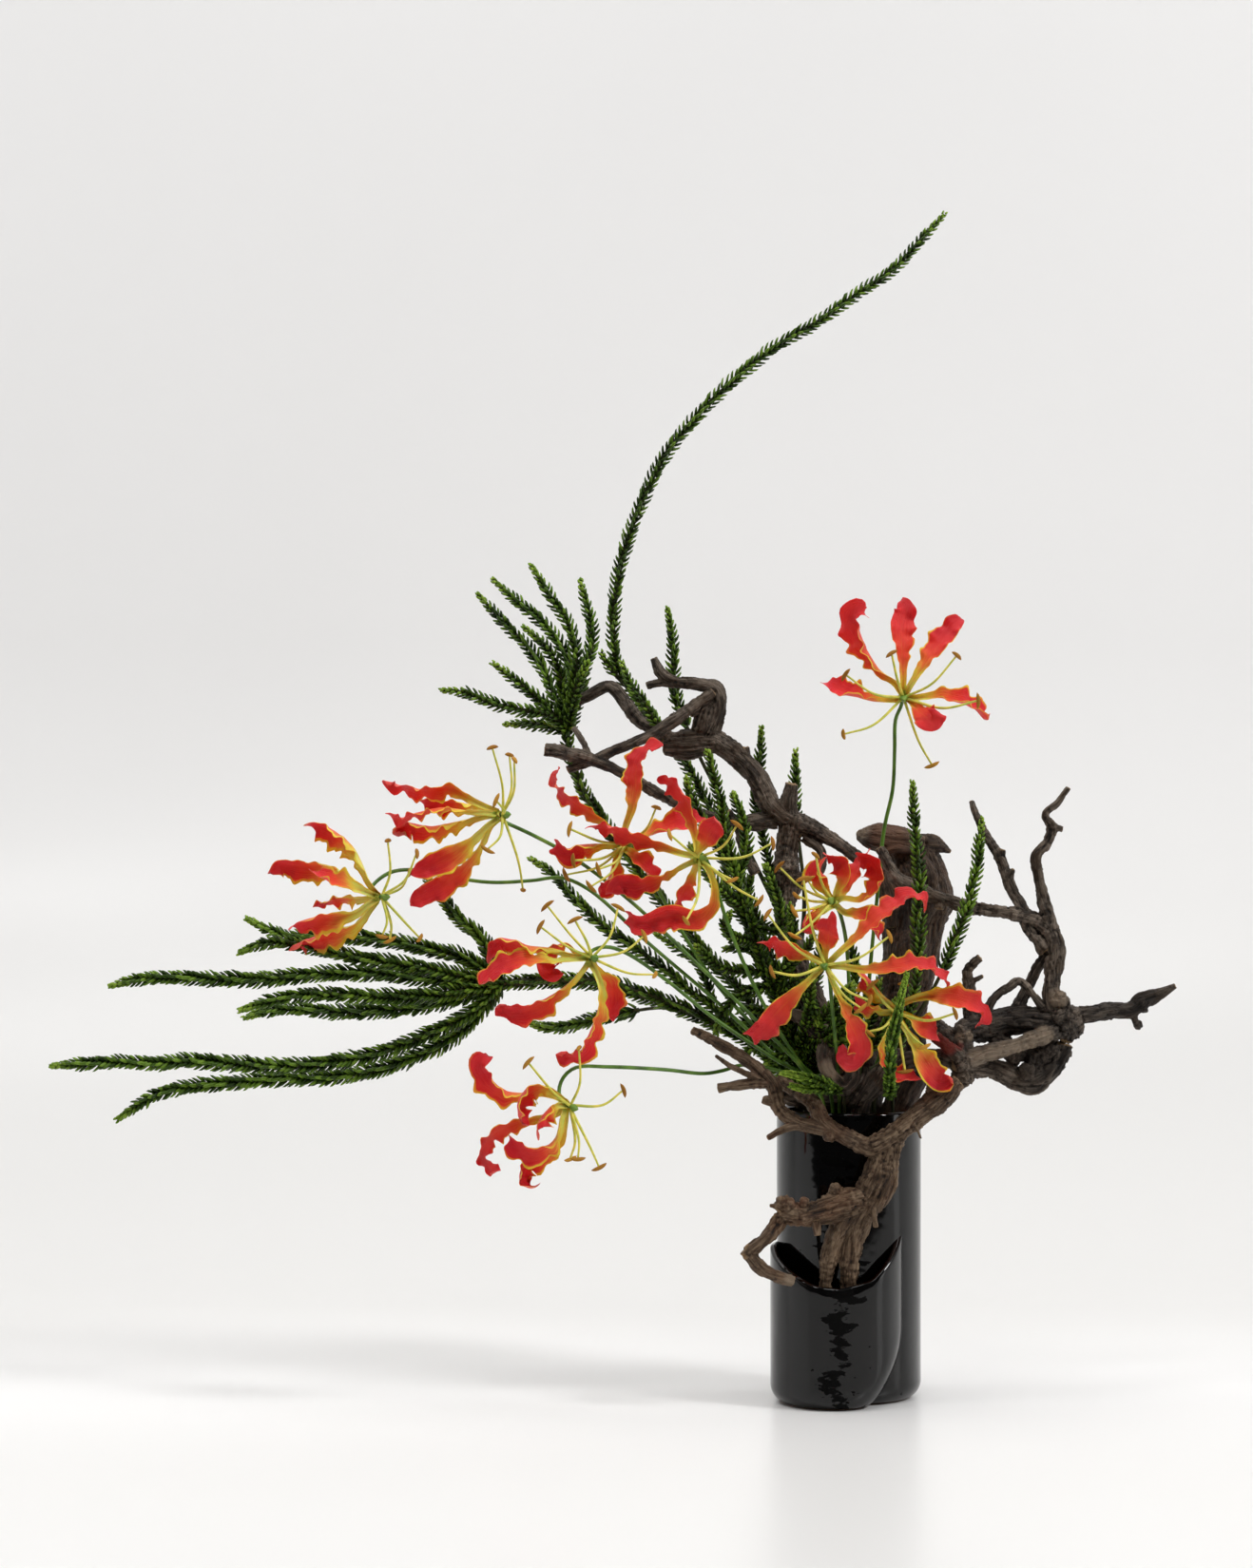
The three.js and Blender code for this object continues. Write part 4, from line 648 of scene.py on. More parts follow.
# the pocket's wall ends inside the cylinder's wall, and only its floor goes on within
front = np.linspace(LEFT_END, RIGHT_END, 176)
within = np.linspace(RIGHT_END + 0.2, LEFT_END + 359.8, 24)
degrees = np.concatenate([front, within])
rim = np.interp((degrees - 90) % 360 + 90, RIM_ANGLES, RIM_HEIGHTS)
kernel = np.hanning(13) / np.hanning(13).sum()
rim = np.convolve(np.pad(rim, 6, mode="edge"), kernel, mode="valid")
tuck = np.exp(-((degrees - TUCK_ANGLE) / TUCK_SPREAD) ** 2)
pot(vase_skin, POCKET_CENTRE, POCKET_HALF, rim,
    (CORNER_WIDTH + TUCK_WIDTH * tuck, CORNER_HEIGHT + TUCK_HEIGHT * tuck),
    np.radians(degrees), np.where(degrees > RIGHT_END, FLOOR - 0.5, NO_CAP))
vase = vase_skin.piece("vase_glazed")

# %% [markdown]
# The glaze is black and wet-looking, a little uneven, with pinholes. It breaks to brown
# where it runs thin over a rim, and stops short of the foot, where bare brown clay shows.
# Down the middle of the front, matte black blots are a painted reflection: they stand in
# for dark reflections in the glaze there. A mark on the mesh says where the rims are, so
# the brown needs no painting.

# %% The glaze
def glaze():
    """Black, brown by the edge mark and bare at the foot; matte black where blots less ten
    times the distance from the front's middle line pass 0.44, on the front only. These
    blots are a painted reflection: they stand in for dark reflections in the glaze."""
    sheet = Sheet("black glaze", IOR=1.44)
    place = sheet.place()
    cloud = sheet.speckle(place, 26, 3, 0.55)
    fine = sheet.speckle(place, 900, 2, 0.6)
    thin = (sheet.number("edge") + (cloud - 0.5) * 0.9).between(0.62, 1.05)
    across, depth, height = (sheet.part(place, axis) for axis in "XYZ")
    foot = (height * 1000 + (cloud - 0.5) * 1.6).between(1.5, 0.7)
    colour = sheet.blend(cloud.between(0.35, 0.75), paint("080706"), paint("0f0d0c"))
    colour = sheet.blend(thin * 0.4, colour, paint("2e180e"))
    sheet.set("Base Color", sheet.blend(foot, colour, paint("6b5240")))
    pits = fine.between(0.74, 0.8)
    sheet.set("Roughness", foot * 0.75 + pits * 0.2 + cloud.between(0.3, 0.8) * 0.05 + 0.05)
    sheet.set("Normal", sheet.bump(cloud - pits * 0.15, 0.0012, 0.35))
    # painted reflection: matte black blots down the front's middle stand in for dark reflections in
    # the glaze
    blots = sheet.speckle(sheet.stretched(place, (1, 1, 2.2)), 62, 4, 0.55, 0.3)
    off_centre = (across + 0.011).maths("ABSOLUTE") * 10
    in_front = (depth * -1).between(0.0, 0.02)
    painted_dark_reflection = (blots - off_centre).between(0.44, 0.47) * (1 - foot) * in_front * 0.94
    sheet.cover(painted_dark_reflection, sheet.node("ShaderNodeBsdfPrincipled", None, {
        "Base Color": paint("070605"), "Roughness": 0.9, "Specular IOR Level": 0.1}))
    return sheet.material


finish_piece(vase, "glaze", ["vase"], glaze())

# %% [markdown]
# ## The driftwood
#
# Weathered roots are limbs that swell, fork and melt into each other, with bark that runs
# along them in ridges. Each limb starts as a tube with an uneven radius, and the tubes are
# joined by a voxel remesh, which fills the forks as growth does. A boolean would leave a
# sharp crease at each fork. Everything ends in the vase, so the places in its mouth come
# first.

# %% Limbs
MOUTH = {  # x and towards the viewer, in millimetres from the cylinder's axis
    "foliage_left_fan": (-33, 0), "foliage_upper_fan": (-27, -15),
    "foliage_tall_shoot": (-17, -27), "foliage_low_shoot": (-31, 15),
    "foliage_centre_spray": (-20, 1), "foliage_back_spray": (-9, -37),
    "foliage_right_shoots": (19, 8), "foliage_tuft_right": (30, 28),
    "foliage_tuft_left": (-7, 43), "driftwood_arch": (-4, 14), "driftwood_right": (4, 35),
    "driftwood_stump": (10, -19),
}
STEM_BOTTOM, WOOD_BOTTOM = 112, 158  # millimetres above the table
LIMB_STEP, LIMB_POINTS = 0.0022, 20  # metres between rings, and points round a ring
END_LENGTH = 0.0026  # metres at each end that count as cut wood


def into_vase(mouth, bottom, top=226):
    """The last stretch of a stem: three places straight down inside the vase."""
    x, towards = mouth
    heights = np.array([top, (top + bottom) / 2, bottom])
    return np.stack([0 * heights + x, 0 * heights - towards, heights], axis=1) * MM


def bark_tube(skin, knots, radii, seed):
    """A limb: a tube whose radius is along(radii) times 1 + swellings + ridges, where the
    swellings are noise at the limb's own thickness and the ridges run along it. It gives
    back its spine: a row of place, radius, run, side, up and end for each ring."""
    line, s, run = evenly(knots, LIMB_STEP)
    radius = along(radii, s) * MM
    turn = full_turn(LIMB_POINTS)
    thick = radius.mean()
    across = np.stack(np.broadcast_arrays(
        run[:, None] / thick * 0.5, np.cos(turn) * 1.1 + seed, np.sin(turn) * 1.1), axis=-1)
    swell = 0.2 * layered(across, seed) + 0.08 * noise(across * [0.5, 3, 3], seed + 9)
    rows = tube(line, radius[:, None] * (1 + swell), len(turn))
    skin.grid(rows)
    _, side, up = directions(line)
    last = np.minimum(run, run[-1] - run) < END_LENGTH
    return np.column_stack([line, radius, run, side, up, last])


def ball(skin, centre, radius, seed):
    """A knot: a sphere whose radius is uneven by noise at about its own size."""
    lift = np.linspace(0.02, np.pi - 0.02, 14)
    turn = full_turn(LIMB_POINTS)
    ways = np.stack(np.broadcast_arrays(
        np.sin(lift)[:, None] * np.cos(turn), np.sin(lift)[:, None] * np.sin(turn),
        -np.cos(lift)[:, None] + 0 * turn), axis=-1)
    size = radius * MM * (1 + 0.2 * layered(ways * 1.6 + seed, seed))
    skin.grid(centre + ways * size[..., None])


def read_knobs(text):
    """Knots in the wood, each 'u v towards radius', as pairs of place and radius."""
    return [(at(row[:3])[0], row[3]) for row in numbers(text).reshape(-1, 4)]


print("into the vase's mouth go", len(MOUTH), "stems and limbs beside the blooms")

# %% [markdown]
# After the remesh, every point finds its nearest limb, and gets from it how far along the
# limb it lies and which way round. Bark is then carved as noise that is stretched along the
# limb. A sculptor would brush it on, and a displacement modifier could not follow the limb.

# %% Joining and carving
AT_ONCE = 4000  # points compared with a spine at a time, to spare memory
# the pitches of each pattern along a limb and round it, in metres
FIBRE, COARSE, PLATE = [0.03, 0.0021, 0.0021], [0.014, 0.0065, 0.0065], [0.0125, 0.0062, 0.0062]
FOLD_PITCH, FOLD_PATCH = 0.0011, 0.022
CRACK_WIDTH = 0.2  # in plates
FULL_DEPTH_RADIUS = 0.006  # thinner limbs are carved less deeply


def nearest(points, spine):
    """For each point, the row of the spine whose surface is nearest: the least of the
    distance to it less its radius."""
    found = []
    for part in np.array_split(points, max(1, len(points) // AT_ONCE)):
        gap = np.linalg.norm(part[:, None] - spine[None, :, :3], axis=2) - spine[:, 3]
        found.append(gap.argmin(axis=1))
    return np.concatenate(found)


def fused(skin, name, voxel):
    """Joins a skin's closed tubes into one skin by a voxel remesh, and smooths the forks."""
    rough = skin.piece(name + "_rough")
    remesh = rough.modifiers.new("join", "REMESH")
    remesh.mode, remesh.voxel_size = "VOXEL", voxel
    soften = rough.modifiers.new("soften", "SMOOTH")
    soften.factor, soften.iterations = 0.5, 3
    graph = bpy.context.evaluated_depsgraph_get()
    mesh = bpy.data.meshes.new_from_object(rough.evaluated_get(graph))
    bpy.data.objects.remove(rough)
    mesh.polygons.foreach_set("use_smooth", np.ones(len(mesh.polygons), bool))
    return link(mesh, name)


def plate_edges(places, seed):
    """Cells grown round one random point in each unit cube: the distance to the second
    nearest of these points less that to the nearest, which is 0 on a border."""
    low = np.floor(places)
    best, second = np.full(len(places), 9.0), np.full(len(places), 9.0)
    for corner in np.ndindex(3, 3, 3):
        cell = low + corner - 1
        heart = cell + np.stack([lattice(cell, seed + k) for k in range(3)], axis=1)
        gap = np.linalg.norm(places - heart, axis=1)
        second = np.minimum(second, np.maximum(best, gap))
        best = np.minimum(best, gap)
    return second - best


def carve_bark(piece, spine, depth, plates, wrinkle, seed, spots):
    """Moves each point along its normal by: fibres, noise with a long pitch along the limb
    and a short one round it, made sharp by 1 - |noise|; less the cracks between plates;
    plus folds across the limb, |sin|, here and there. It also leaves the marks that the
    bark's material reads: grain, the place along and round the limb; hollow, how deep the
    carving goes; cut, at sawn or broken ends; and pale, red, rust and dark spots."""
    mesh = piece.data
    points = points_of(mesh)
    normals = points_of(mesh, "vertex_normals", "vector")
    near = spine[nearest(points, spine)]
    out = points - near[:, :3]
    grain = np.stack([near[:, 4], (out * near[:, 5:8]).sum(1), (out * near[:, 8:11]).sum(1)], 1)
    ridges = 0.5 - np.abs(layered(grain / FIBRE, seed, 2))
    coarse = layered(grain / COARSE, seed + 5, 2)
    edges = plate_edges(grain / PLATE + 0.25 * coarse[:, None], seed + 7)
    cracks = 1 - np.clip(edges / CRACK_WIDTH, 0, 1)
    folds = np.abs(np.sin(grain[:, 0] / FOLD_PITCH + 2.2 * coarse)) - 0.6
    here = np.clip(2.5 * noise(points / FOLD_PATCH, seed + 3) + 0.4, 0, 1)
    share = np.clip(near[:, 3] / FULL_DEPTH_RADIUS, 0.35, 1.25)
    move = (0.7 * ridges + 0.35 * coarse - plates * (cracks - 0.3)
            + wrinkle * here * folds) * share
    points = points + normals * (depth * move)[:, None]
    mesh.vertices.foreach_set("co", points.astype(np.float32).ravel())
    mark(mesh, "grain", grain)
    mark(mesh, "hollow", -move / share)
    lengthwise = np.abs((normals * np.cross(near[:, 5:8], near[:, 8:11])).sum(axis=1))
    mark(mesh, "cut", near[:, 11] * np.clip(lengthwise * 4 - 2.4, 0, 1))
    for label in ("pale", "red", "rust", "dark"):
        glow = np.zeros(len(points))
        for centre, radius in spots.get(label, []):
            gap = np.linalg.norm((points - centre) * [1, 0.4, 1], axis=1)
            glow = np.maximum(glow, np.clip(2.2 - 2 * gap / (radius * MM), 0, 1))
        mark(mesh, label, glow)
    mesh.update()


print("plate edges at three places:", np.round(plate_edges(places, 1), 2))

# %% [markdown]
# A whole piece of driftwood is then three steps: its limbs and knots as tubes and balls,
# the remesh, and the carving. Its foot goes on down inside the vase, so that the wood
# stands as it would.

# %% A piece of driftwood
VOXEL, QUICK_VOXEL = 0.0009, 0.0016  # metres
LIMB_GAP = 0.05  # metres of grain left out between limbs, so that no two look alike


def driftwood(name, limbs_text, knobs_text, seed, foot, carving, spots):
    """A piece of driftwood. Its foot is None, or its last places above the mouth and the
    radii from there down into the vase. Carving is the depth, plates and wrinkle."""
    skin, spine, start = Skin(), [], 0
    limbs = [(at(route), radii) for route, radii in routes(limbs_text)]
    if foot:
        places, radii = foot
        inside = into_vase(MOUTH[name], WOOD_BOTTOM, 205)
        limbs.append((np.concatenate([at(numbers(places)), inside]), radii))
    for number, (knots, radii) in enumerate(limbs):
        rows = bark_tube(skin, knots, radii, seed + 3 * number)
        rows[:, 4] += start
        start = rows[-1, 4] + LIMB_GAP
        spine.append(rows)
    for number, (centre, radius) in enumerate(read_knobs(knobs_text)):
        ball(skin, centre, radius, seed + number)
        spine.append(np.array([[*centre, radius * MM, start, 1, 0, 0, 0, 0, 1, 0]]))
        start += LIMB_GAP
    piece = fused(skin, name + "_bark", VOXEL)
    carve_bark(piece, np.concatenate(spine), *carving, seed, spots)
    return piece


print("voxels of", VOXEL, "metres, or", QUICK_VOXEL, "for a quick look")

# %% [markdown]
# The bark is grey-brown where it faces the weather and nearly black in its cracks, with
# fine fibres along each limb, warmer patches, and pale ones where it has worn to the wood.
# The hollow mark darkens the cracks and deep hollows as painted shade, and the spots'
# marks lay pale, red, rusty and dark places over it; the dark ones are painted shade, and
# one pale one is a painted highlight.

# %% Bark
def bark(name, dark, middle, light, warm):
    """Three shades by streaks, fibres and patches, darker in the hollows as painted shade; a
    warm one over them in patches; then cracks with painted shade in the hollows, spots and
    the sawn ends, each laid over what came before by its mark. The dark spots are painted
    shade, and one pale spot is a painted highlight."""
    sheet = Sheet(name, Specular_IOR_Level=0.3)
    grain = sheet.vector("grain")
    place = sheet.place()
    fibre = sheet.speckle(sheet.stretched(grain, (110, 1500, 1500)), 1.0, 4, 0.65)
    streak = sheet.speckle(sheet.stretched(grain, (45, 420, 420)), 1.0, 3, 0.6, 0.4)
    patch = sheet.speckle(place, 55, 4, 0.6, 0.5)
    worn = sheet.speckle(place, 28, 3, 0.55)
    hollow = sheet.number("hollow")
    check = sheet.node("ShaderNodeTexVoronoi", {"feature": "DISTANCE_TO_EDGE"}, {
        "Vector": sheet.stretched(grain, (90, 420, 420)), "Scale": 1.0})
    check = 1 - check.between(0.0, 0.07)
    # painted shade: the hollow mark darkens the wood where the carving is deep
    shade = streak * 0.5 + fibre * 0.35 + patch * 0.3 - hollow * 0.14 + 0.03
    colour = sheet.ramp(shade, (0.38, paint(dark)), (0.57, paint(middle)), (0.78, paint(light)))
    colour = sheet.blend(worn.between(0.5, 0.68) * 0.5, colour, paint(warm))
    # painted shade: cracks and deep hollows are laid nearly black
    crack_and_painted_shade = (hollow + check * 0.25).between(0.3, 0.95)
    colour = sheet.blend(crack_and_painted_shade * 0.85, colour, paint("0f0b08"))
    colour = sheet.blend(sheet.number("rust") * 0.5, colour, paint("74503c"))
    colour = sheet.blend(sheet.number("red") * 0.8, colour, paint("7c2416"))
    # painted shade: the dark spots darken the right-hand root's mass and the stump, where shade falls
    colour = sheet.blend(sheet.number("dark") * 0.6, colour, paint("120d0a"))
    # pale spots: worn wood, knots and cut stubs, and on the curl in the vase's mouth a painted
    # highlight
    worn_and_painted_highlight = sheet.number("pale") * (0.75 - (streak - 0.5) * 1.6)
    colour = sheet.blend(worn_and_painted_highlight, colour, paint("8a7966"))
    rings = sheet.speckle(place, 900, 2, 0.5)
    cut = sheet.blend(rings, paint("8a6a48"), paint("b99a70"))
    sheet.set("Base Color", sheet.blend(sheet.number("cut") * 0.8, colour, cut))
    sheet.set("Roughness", patch.between(0.3, 0.7) * 0.2 + 0.5)
    fine = fibre * 0.6 + streak * 0.7 + patch * 0.3 - check * 0.35
    sheet.set("Normal", sheet.bump(fine, 0.0016, 0.9))
    return sheet.material


grey_bark = bark("grey bark", "120e0a", "393027", "86786a", "453320")
brown_bark = bark("brown bark", "1a110b", "4c3a2a", "8c765f", "5a3a24")
stump_bark = bark("stump bark", "150f0b", "3c2f26", "705d4c", "5a3a28")
print("a bark has", len(grey_bark.node_tree.nodes), "nodes")

# %% [markdown]
# The arch reaches up to the left: a hooked limb, a straight bar behind it, and the long
# diagonal that comes down to the trunk. Each line below is one limb: its places, and after
# the bar its radii in millimetres, spread evenly from its start to its end.

# %% The arch's limbs
ARCH_LIMBS = """
    688 692 -4, 695 708 -2, 710 717 0, 735 720 2, 752 725 4, 755 745 4, 748 765 2, 738 784 0
    | 2.8 4 4.2 4.8 6 6.5 7 8;
    680 721 -2, 696 718 -1, 712 719 0 | 2.6 2.6 3.6;
    752 726 2, 745 746 2, 740 768 0 | 6.6 8 8.6;
    742 740 4, 732 746 6, 725 750 7 | 4.4 3.8 3.4;
    698 784 0, 722 783 2, 752 780 0 | 6 9.5 8;
    750 728 9, 720 750 12, 690 770 15, 650 788 18, 597 810 20 | 4 4.2 4.2 4 3;
    573 788 24, 600 793 24, 640 806 20, 690 833 12, 725 852 6, 770 866 4, 815 862 0
    | 4.8 4.8 3.8 4 4.4 5.5 6.5;
    603 765 17, 613 780 19, 620 800 20 | 2 2.4 2.8;
    598 744 -16, 618 732 -12, 640 722 -12, 655 735 -10, 672 757 -6, 695 770 -2, 715 785 0
    | 2.6 3.8 4.6 5 5 5.4 6;
    745 775 0, 765 788 0, 785 805 0, 800 825 0, 812 848 0, 830 862 0, 860 875 0, 885 890 0,
    905 904 0 | 8 8 8 8 7.6 9 5.6 5 4.4;
    785 785 2, 786 806 0 | 2.5 3;
    832 824 4, 829 845 2, 832 865 0 | 4.6 6 8;
    766 852 10, 776 868 4 | 2.4 3.6;
    780 868 4, 784 898 7, 795 919 9 | 4.6 4 3.6;
    846 880 0, 864 896 4, 862 916 4, 834 926 2 | 4 3.4 3.6 4;
    832 864 0, 826 895 0, 827 925 -2, 826 960 -4, 838 1010 0, 858 1060 8, 876 1100 13, 888 1132 14
    | 9 8 9 7.4 7.4 8.6 8.5 8;
    822 1062 16, 840 1070 18, 858 1082 20, 872 1096 22, 876 1114 26, 886 1126 30
    | 3.4 5.4 6.4 6.6 6 5.6;
    876 1094 16, 868 1104 32, 868 1120 42, 876 1136 46, 888 1143 46, 897 1134 45, 896 1121 42,
    887 1112 40 | 6 5.4 5.6 5.8 5.8 5.6 5 4;
    890 1166 18, 902 1156 38, 914 1142 42, 926 1128 42, 938 1116 38, 946 1106 30 | 5 5.4 6 6 5 3.6;
    812 1140 8, 832 1150 12, 858 1158 16, 884 1160 18 | 5 7 8 7;
    870 1060 -10, 886 1076 -8, 904 1094 -6, 915 1124 -4, 906 1142 6, 890 1148 12 | 5 7 8 8 7 7;
"""
ARCH_KNOBS = "828 912 2 8.5, 872 1078 12 9, 884 1140 8 8"
print("the arch has", ARCH_LIMBS.count(";"), "limbs")

# %% [markdown]
# The right-hand root is a thick, knotted mass with one long branch, which runs back over
# the stump, and two thorny twigs that stand up.

# %% The right-hand root's limbs
RIGHT_LIMBS = """
    925 891 8, 935 910 8, 945 925 8, 965 935 8, 1000 948 8, 1040 957 8, 1070 962 9, 1095 970 10,
    1109 988 12, 1108 1020 12, 1106 1050 14, 1118 1072 15 | 3.4 4 4.8 5 5 5 5 5.6 6 6 6.6 9;
    988 956 10, 990 944 8 | 3.2 3.6;
    1022 842 -8, 1028 860 -6, 1040 882 -4, 1053 905 -2, 1062 930 2, 1073 952 6, 1082 976 9,
    1100 1000 12 | 2.2 2.8 3.4 3.8 4 4.4 4.6 4.8;
    1055 893 0, 1053 905 -2 | 2 2.6;
    1066 914 4, 1061 926 2 | 2 2.6;
    1124 828 22, 1112 845 20, 1099 857 18, 1106 870 16, 1100 888 16, 1090 898 16, 1092 920 14,
    1098 945 12, 1108 985 12 | 1.8 2.6 3 3.4 3.6 4 4 4.6 5;
    1118 872 17, 1104 868 16 | 2.2 3;
    1106 998 8, 1090 1020 3, 1080 1042 2, 1068 1066 6 | 3.8 4 4.2 5;
    1120 1072 15, 1140 1068 16, 1170 1063 18, 1190 1062 20, 1203 1053 22, 1237 1037 26
    | 8 6.6 6 6 6.4 2.4;
    1192 1064 20, 1196 1082 22 | 3 1.6;
    1010 1118 40, 1035 1109 38, 1062 1102 34, 1090 1092 28, 1114 1082 20 | 6.4 5.8 5.6 5.8 7;
    983 1090 46, 1010 1112 42 | 4 5;
    1014 1120 36, 1045 1124 22, 1066 1134 18, 1090 1136 16, 1110 1120 14, 1118 1098 14
    | 7 6.6 8 8 7 6.6;
    984 1076 12, 998 1092 20, 1012 1108 30 | 5 6.5 7.5;
    1012 1112 34, 1015 1085 18, 1050 1076 10, 1082 1072 11, 1114 1074 14 | 7 9 10.5 11 10;
    1021 1072 14, 1020 1035 12, 1017 1021 12, 1031 1007 14 | 5 4 4 3.2;
    1020 1034 13, 1034 1026 16 | 2.4 1.6;
    1033 1072 17, 1045 1050 19, 1062 1038 20, 1073 1032 20, 1086 1046 19, 1098 1062 16
    | 3.4 3 3 3 3 3.4;
    1012 1116 36, 975 1113 36, 945 1122 36, 922 1142 36 | 7 6 6.4 6.4;
"""
RIGHT_KNOBS = """
    1115 1053 20 7, 1122 1074 16 13.5, 1012 1092 24 9, 1013 1130 34 9, 1080 1126 22 6.5,
    1203 1054 22 6.5, 1012 1117 40 7.5, 1068 1106 16 9, 1090 1112 14 9.5, 1104 1102 14 8,
    1052 1096 12 8, 1197 1078 22 3.5
"""
print("the root has", RIGHT_LIMBS.count(";"), "limbs")

# %% [markdown]
# In front a forked limb lies in a V over the vase's mouth. Its foot comes down into the
# pocket, and a bent one hangs over the pocket's rim.

# %% The front's limbs
FRONT_LIMBS = """
    818 1135 41, 836 1146 48, 855 1160 57, 863 1176 64, 878 1190 68, 900 1200 70, 916 1206 71,
    937 1195 72, 960 1178 69, 984 1160 62, 1006 1138 55
    | 4.2 4.6 5.2 5.6 6 6.3 6.6 7.4 8.6 9.6 6.4;
    728 1083 42, 760 1100 46, 790 1118 51, 812 1140 56, 820 1165 60, 836 1179 64, 860 1186 67,
    880 1191 68 | 3 4 4.6 5 5 5 5 5;
    755 1145 56, 776 1141 56, 812 1139 56 | 3.4 3.6 4.4;
    802 1156 58, 820 1162 60 | 3 3.6;
    752 1110 57, 770 1122 57, 806 1138 57 | 1.4 2 2.6;
    807 1197 70, 825 1187 68, 852 1183 66 | 2 2.6 3.4;
    946 1186 70, 932 1214 67, 924 1240 67, 912 1264 66, 902 1286 64, 896 1310 62.5, 893 1338 61.5,
    892 1380 61.3 | 7 10 11.6 11 9 7.4 6.4 5.6;
    894 1272 67, 881 1295 66, 873 1318 64, 868 1342 61.5, 866 1372 60.5 | 9 7.6 6.6 4.8 4.2;
    908 1262 68, 885 1268 70, 860 1275 72, 836 1278 75, 820 1276 76 | 9.6 11 9.4 8 6.6;
    857 1280 78, 860 1299 78 | 3.6 2.8;
    828 1268 76, 809 1268 76 | 3 1.5;
    822 1280 77, 805 1303 81, 786 1318 85 | 5.4 4.8 4.6;
    784 1314 85, 800 1333 84, 818 1343 79, 834 1347 74 | 4 5 4.6 3.8;
    918 1262 73, 921 1291 75 | 2.6 2;
    948 1190 73, 945 1219 77 | 1.8 0.9;
    952 1182 74, 962 1184 76, 969 1198 74 | 2 1.1 0.9;
"""
FRONT_KNOBS = "826 1268 76 7.4, 880 1253 70 5.6, 873 1194 70 5, 846 1264 78 4, 984 1146 60 7"
print("the front has", FRONT_LIMBS.count(";"), "limbs")

# %% [markdown]
# The stump stands behind. After its trunk come its brow, the pointed lobe at its right, its
# broad foot, and the rolls of its folded front.

# %% The stump's limbs
STUMP_LIMBS = """
    944 890 -44, 956 908 -44, 961 935 -44, 959 965 -43, 957 1005 -40, 948 1055 -34, 928 1100 -26
    | 15 20 23.5 23.5 23 21 17;
    903 877 -36, 920 881 -30, 944 884 -28, 968 887 -34 | 4 9.5 9.5 7;
    960 888 -40, 980 889 -38, 990 891 -38, 1000 896 -38 | 8 8 5 1.4;
    944 1060 -26, 956 1090 -16, 962 1125 -8, 950 1150 0, 936 1180 8 | 12 12 12 12 10;
    928 896 -22, 946 893 -19, 964 896 -22 | 2.4 3.2 2.6;
    968 900 -24, 978 920 -20, 980 945 -20, 972 970 -22 | 4 6 6 3;
    934 905 -22, 932 925 -20, 936 945 -20, 938 975 -22 | 3 6 7 3;
"""
STUMP_KNOBS = "978 891 -38 7, 948 892 -44 9"
print("the stump has", STUMP_LIMBS.count(";"), "limbs")

# %% [markdown]
# Weather and wear are not even either: the root is pale along its top and red where bark
# came off near the mouth. The dark spots underneath are painted shade, and the pale spot
# on the curl in the vase's mouth is a painted highlight. Each spot below is a place and a
# radius in millimetres, and marks the points near it on any of the four pieces.

# %% Spots and the four pieces
SPOTS_TEXT = {
    # pale: worn wood, knots and cut ends; the last spot, on the curl in the mouth, is a painted
    # highlight
    "pale": """
        991 955 14 5, 1010 1091 32 4.2, 1020 1089 32 4.2, 832 1346 76 7, 905 873 -30 8,
        1028 1112 41 8, 1042 1108 40 8, 1056 1104 38 8, 1070 1100 35 8, 1084 1095 32 8,
        1098 1089 27 8, 1113 1050 26 8, 872 1126 50 9""",
    "red": "984 1091 47 9, 996 1100 46 8, 1010 1098 44 5",
    "rust": "840 1262 80 7, 936 882 -26 16",
    # dark: painted shade on the root's mass and the stump
    "dark": "956 1110 -8 30, 1046 1076 14 34, 1100 1100 12 36, 1180 1062 20 34, 960 960 -26 16",
}
SPOTS = {kind: read_knobs(rows) for kind, rows in SPOTS_TEXT.items()}
WOOD = [  # name, limbs, knots, seed, foot, carving, bark
    ("driftwood_arch", ARCH_LIMBS, ARCH_KNOBS, 11, ("885 1124 14", [8, 7.6, 7, 6]),
     (0.0015, 0.4, 0.5), grey_bark),
    ("driftwood_right", RIGHT_LIMBS, RIGHT_KNOBS, 47,
     ("932 1132 36, 912 1152 35", [6.4, 6, 5.6, 5]), (0.0015, 0.6, 0.7), grey_bark),
    ("driftwood_front", FRONT_LIMBS, FRONT_KNOBS, 83, None, (0.0013, 0.5, 0.7), brown_bark),
    ("driftwood_stump", STUMP_LIMBS, STUMP_KNOBS, 131, ("926 1100 -26", [16, 15.5, 15, 14]),
     (0.0014, 0.25, 0.4), stump_bark),
]
for name, limbs, knobs, seed, foot, carving, material in WOOD:
    wood = driftwood(name, limbs, knobs, seed, foot, carving, SPOTS)
    finish_piece(wood, "wood", [name], material)

# %% [markdown]
# A cut twig is wedged across the vase's mouth, out of sight, and the stems lean on it. It
# is a short limb like the others, cut square at both ends.

# %% The twig across the mouth
PROP_X, PROP_HEIGHT, PROP_REACH, PROP_RADIUS = 36, 196, 27.2, 2.6  # millimetres
PROP_VOXEL, PROP_SEED = 0.0006, 7
prop_skin = Skin()
prop_ends = np.array([[PROP_X, -PROP_REACH, PROP_HEIGHT], [PROP_X, PROP_REACH, PROP_HEIGHT]])
prop_line = bark_tube(prop_skin, prop_ends * MM, [PROP_RADIUS], PROP_SEED)
prop = fused(prop_skin, "mouth_prop_bark", PROP_VOXEL)
carve_bark(prop, prop_line, 0.0003, 0.3, 0.2, PROP_SEED, {})
finish_piece(prop, "wood", ["mouth_prop"], brown_bark)

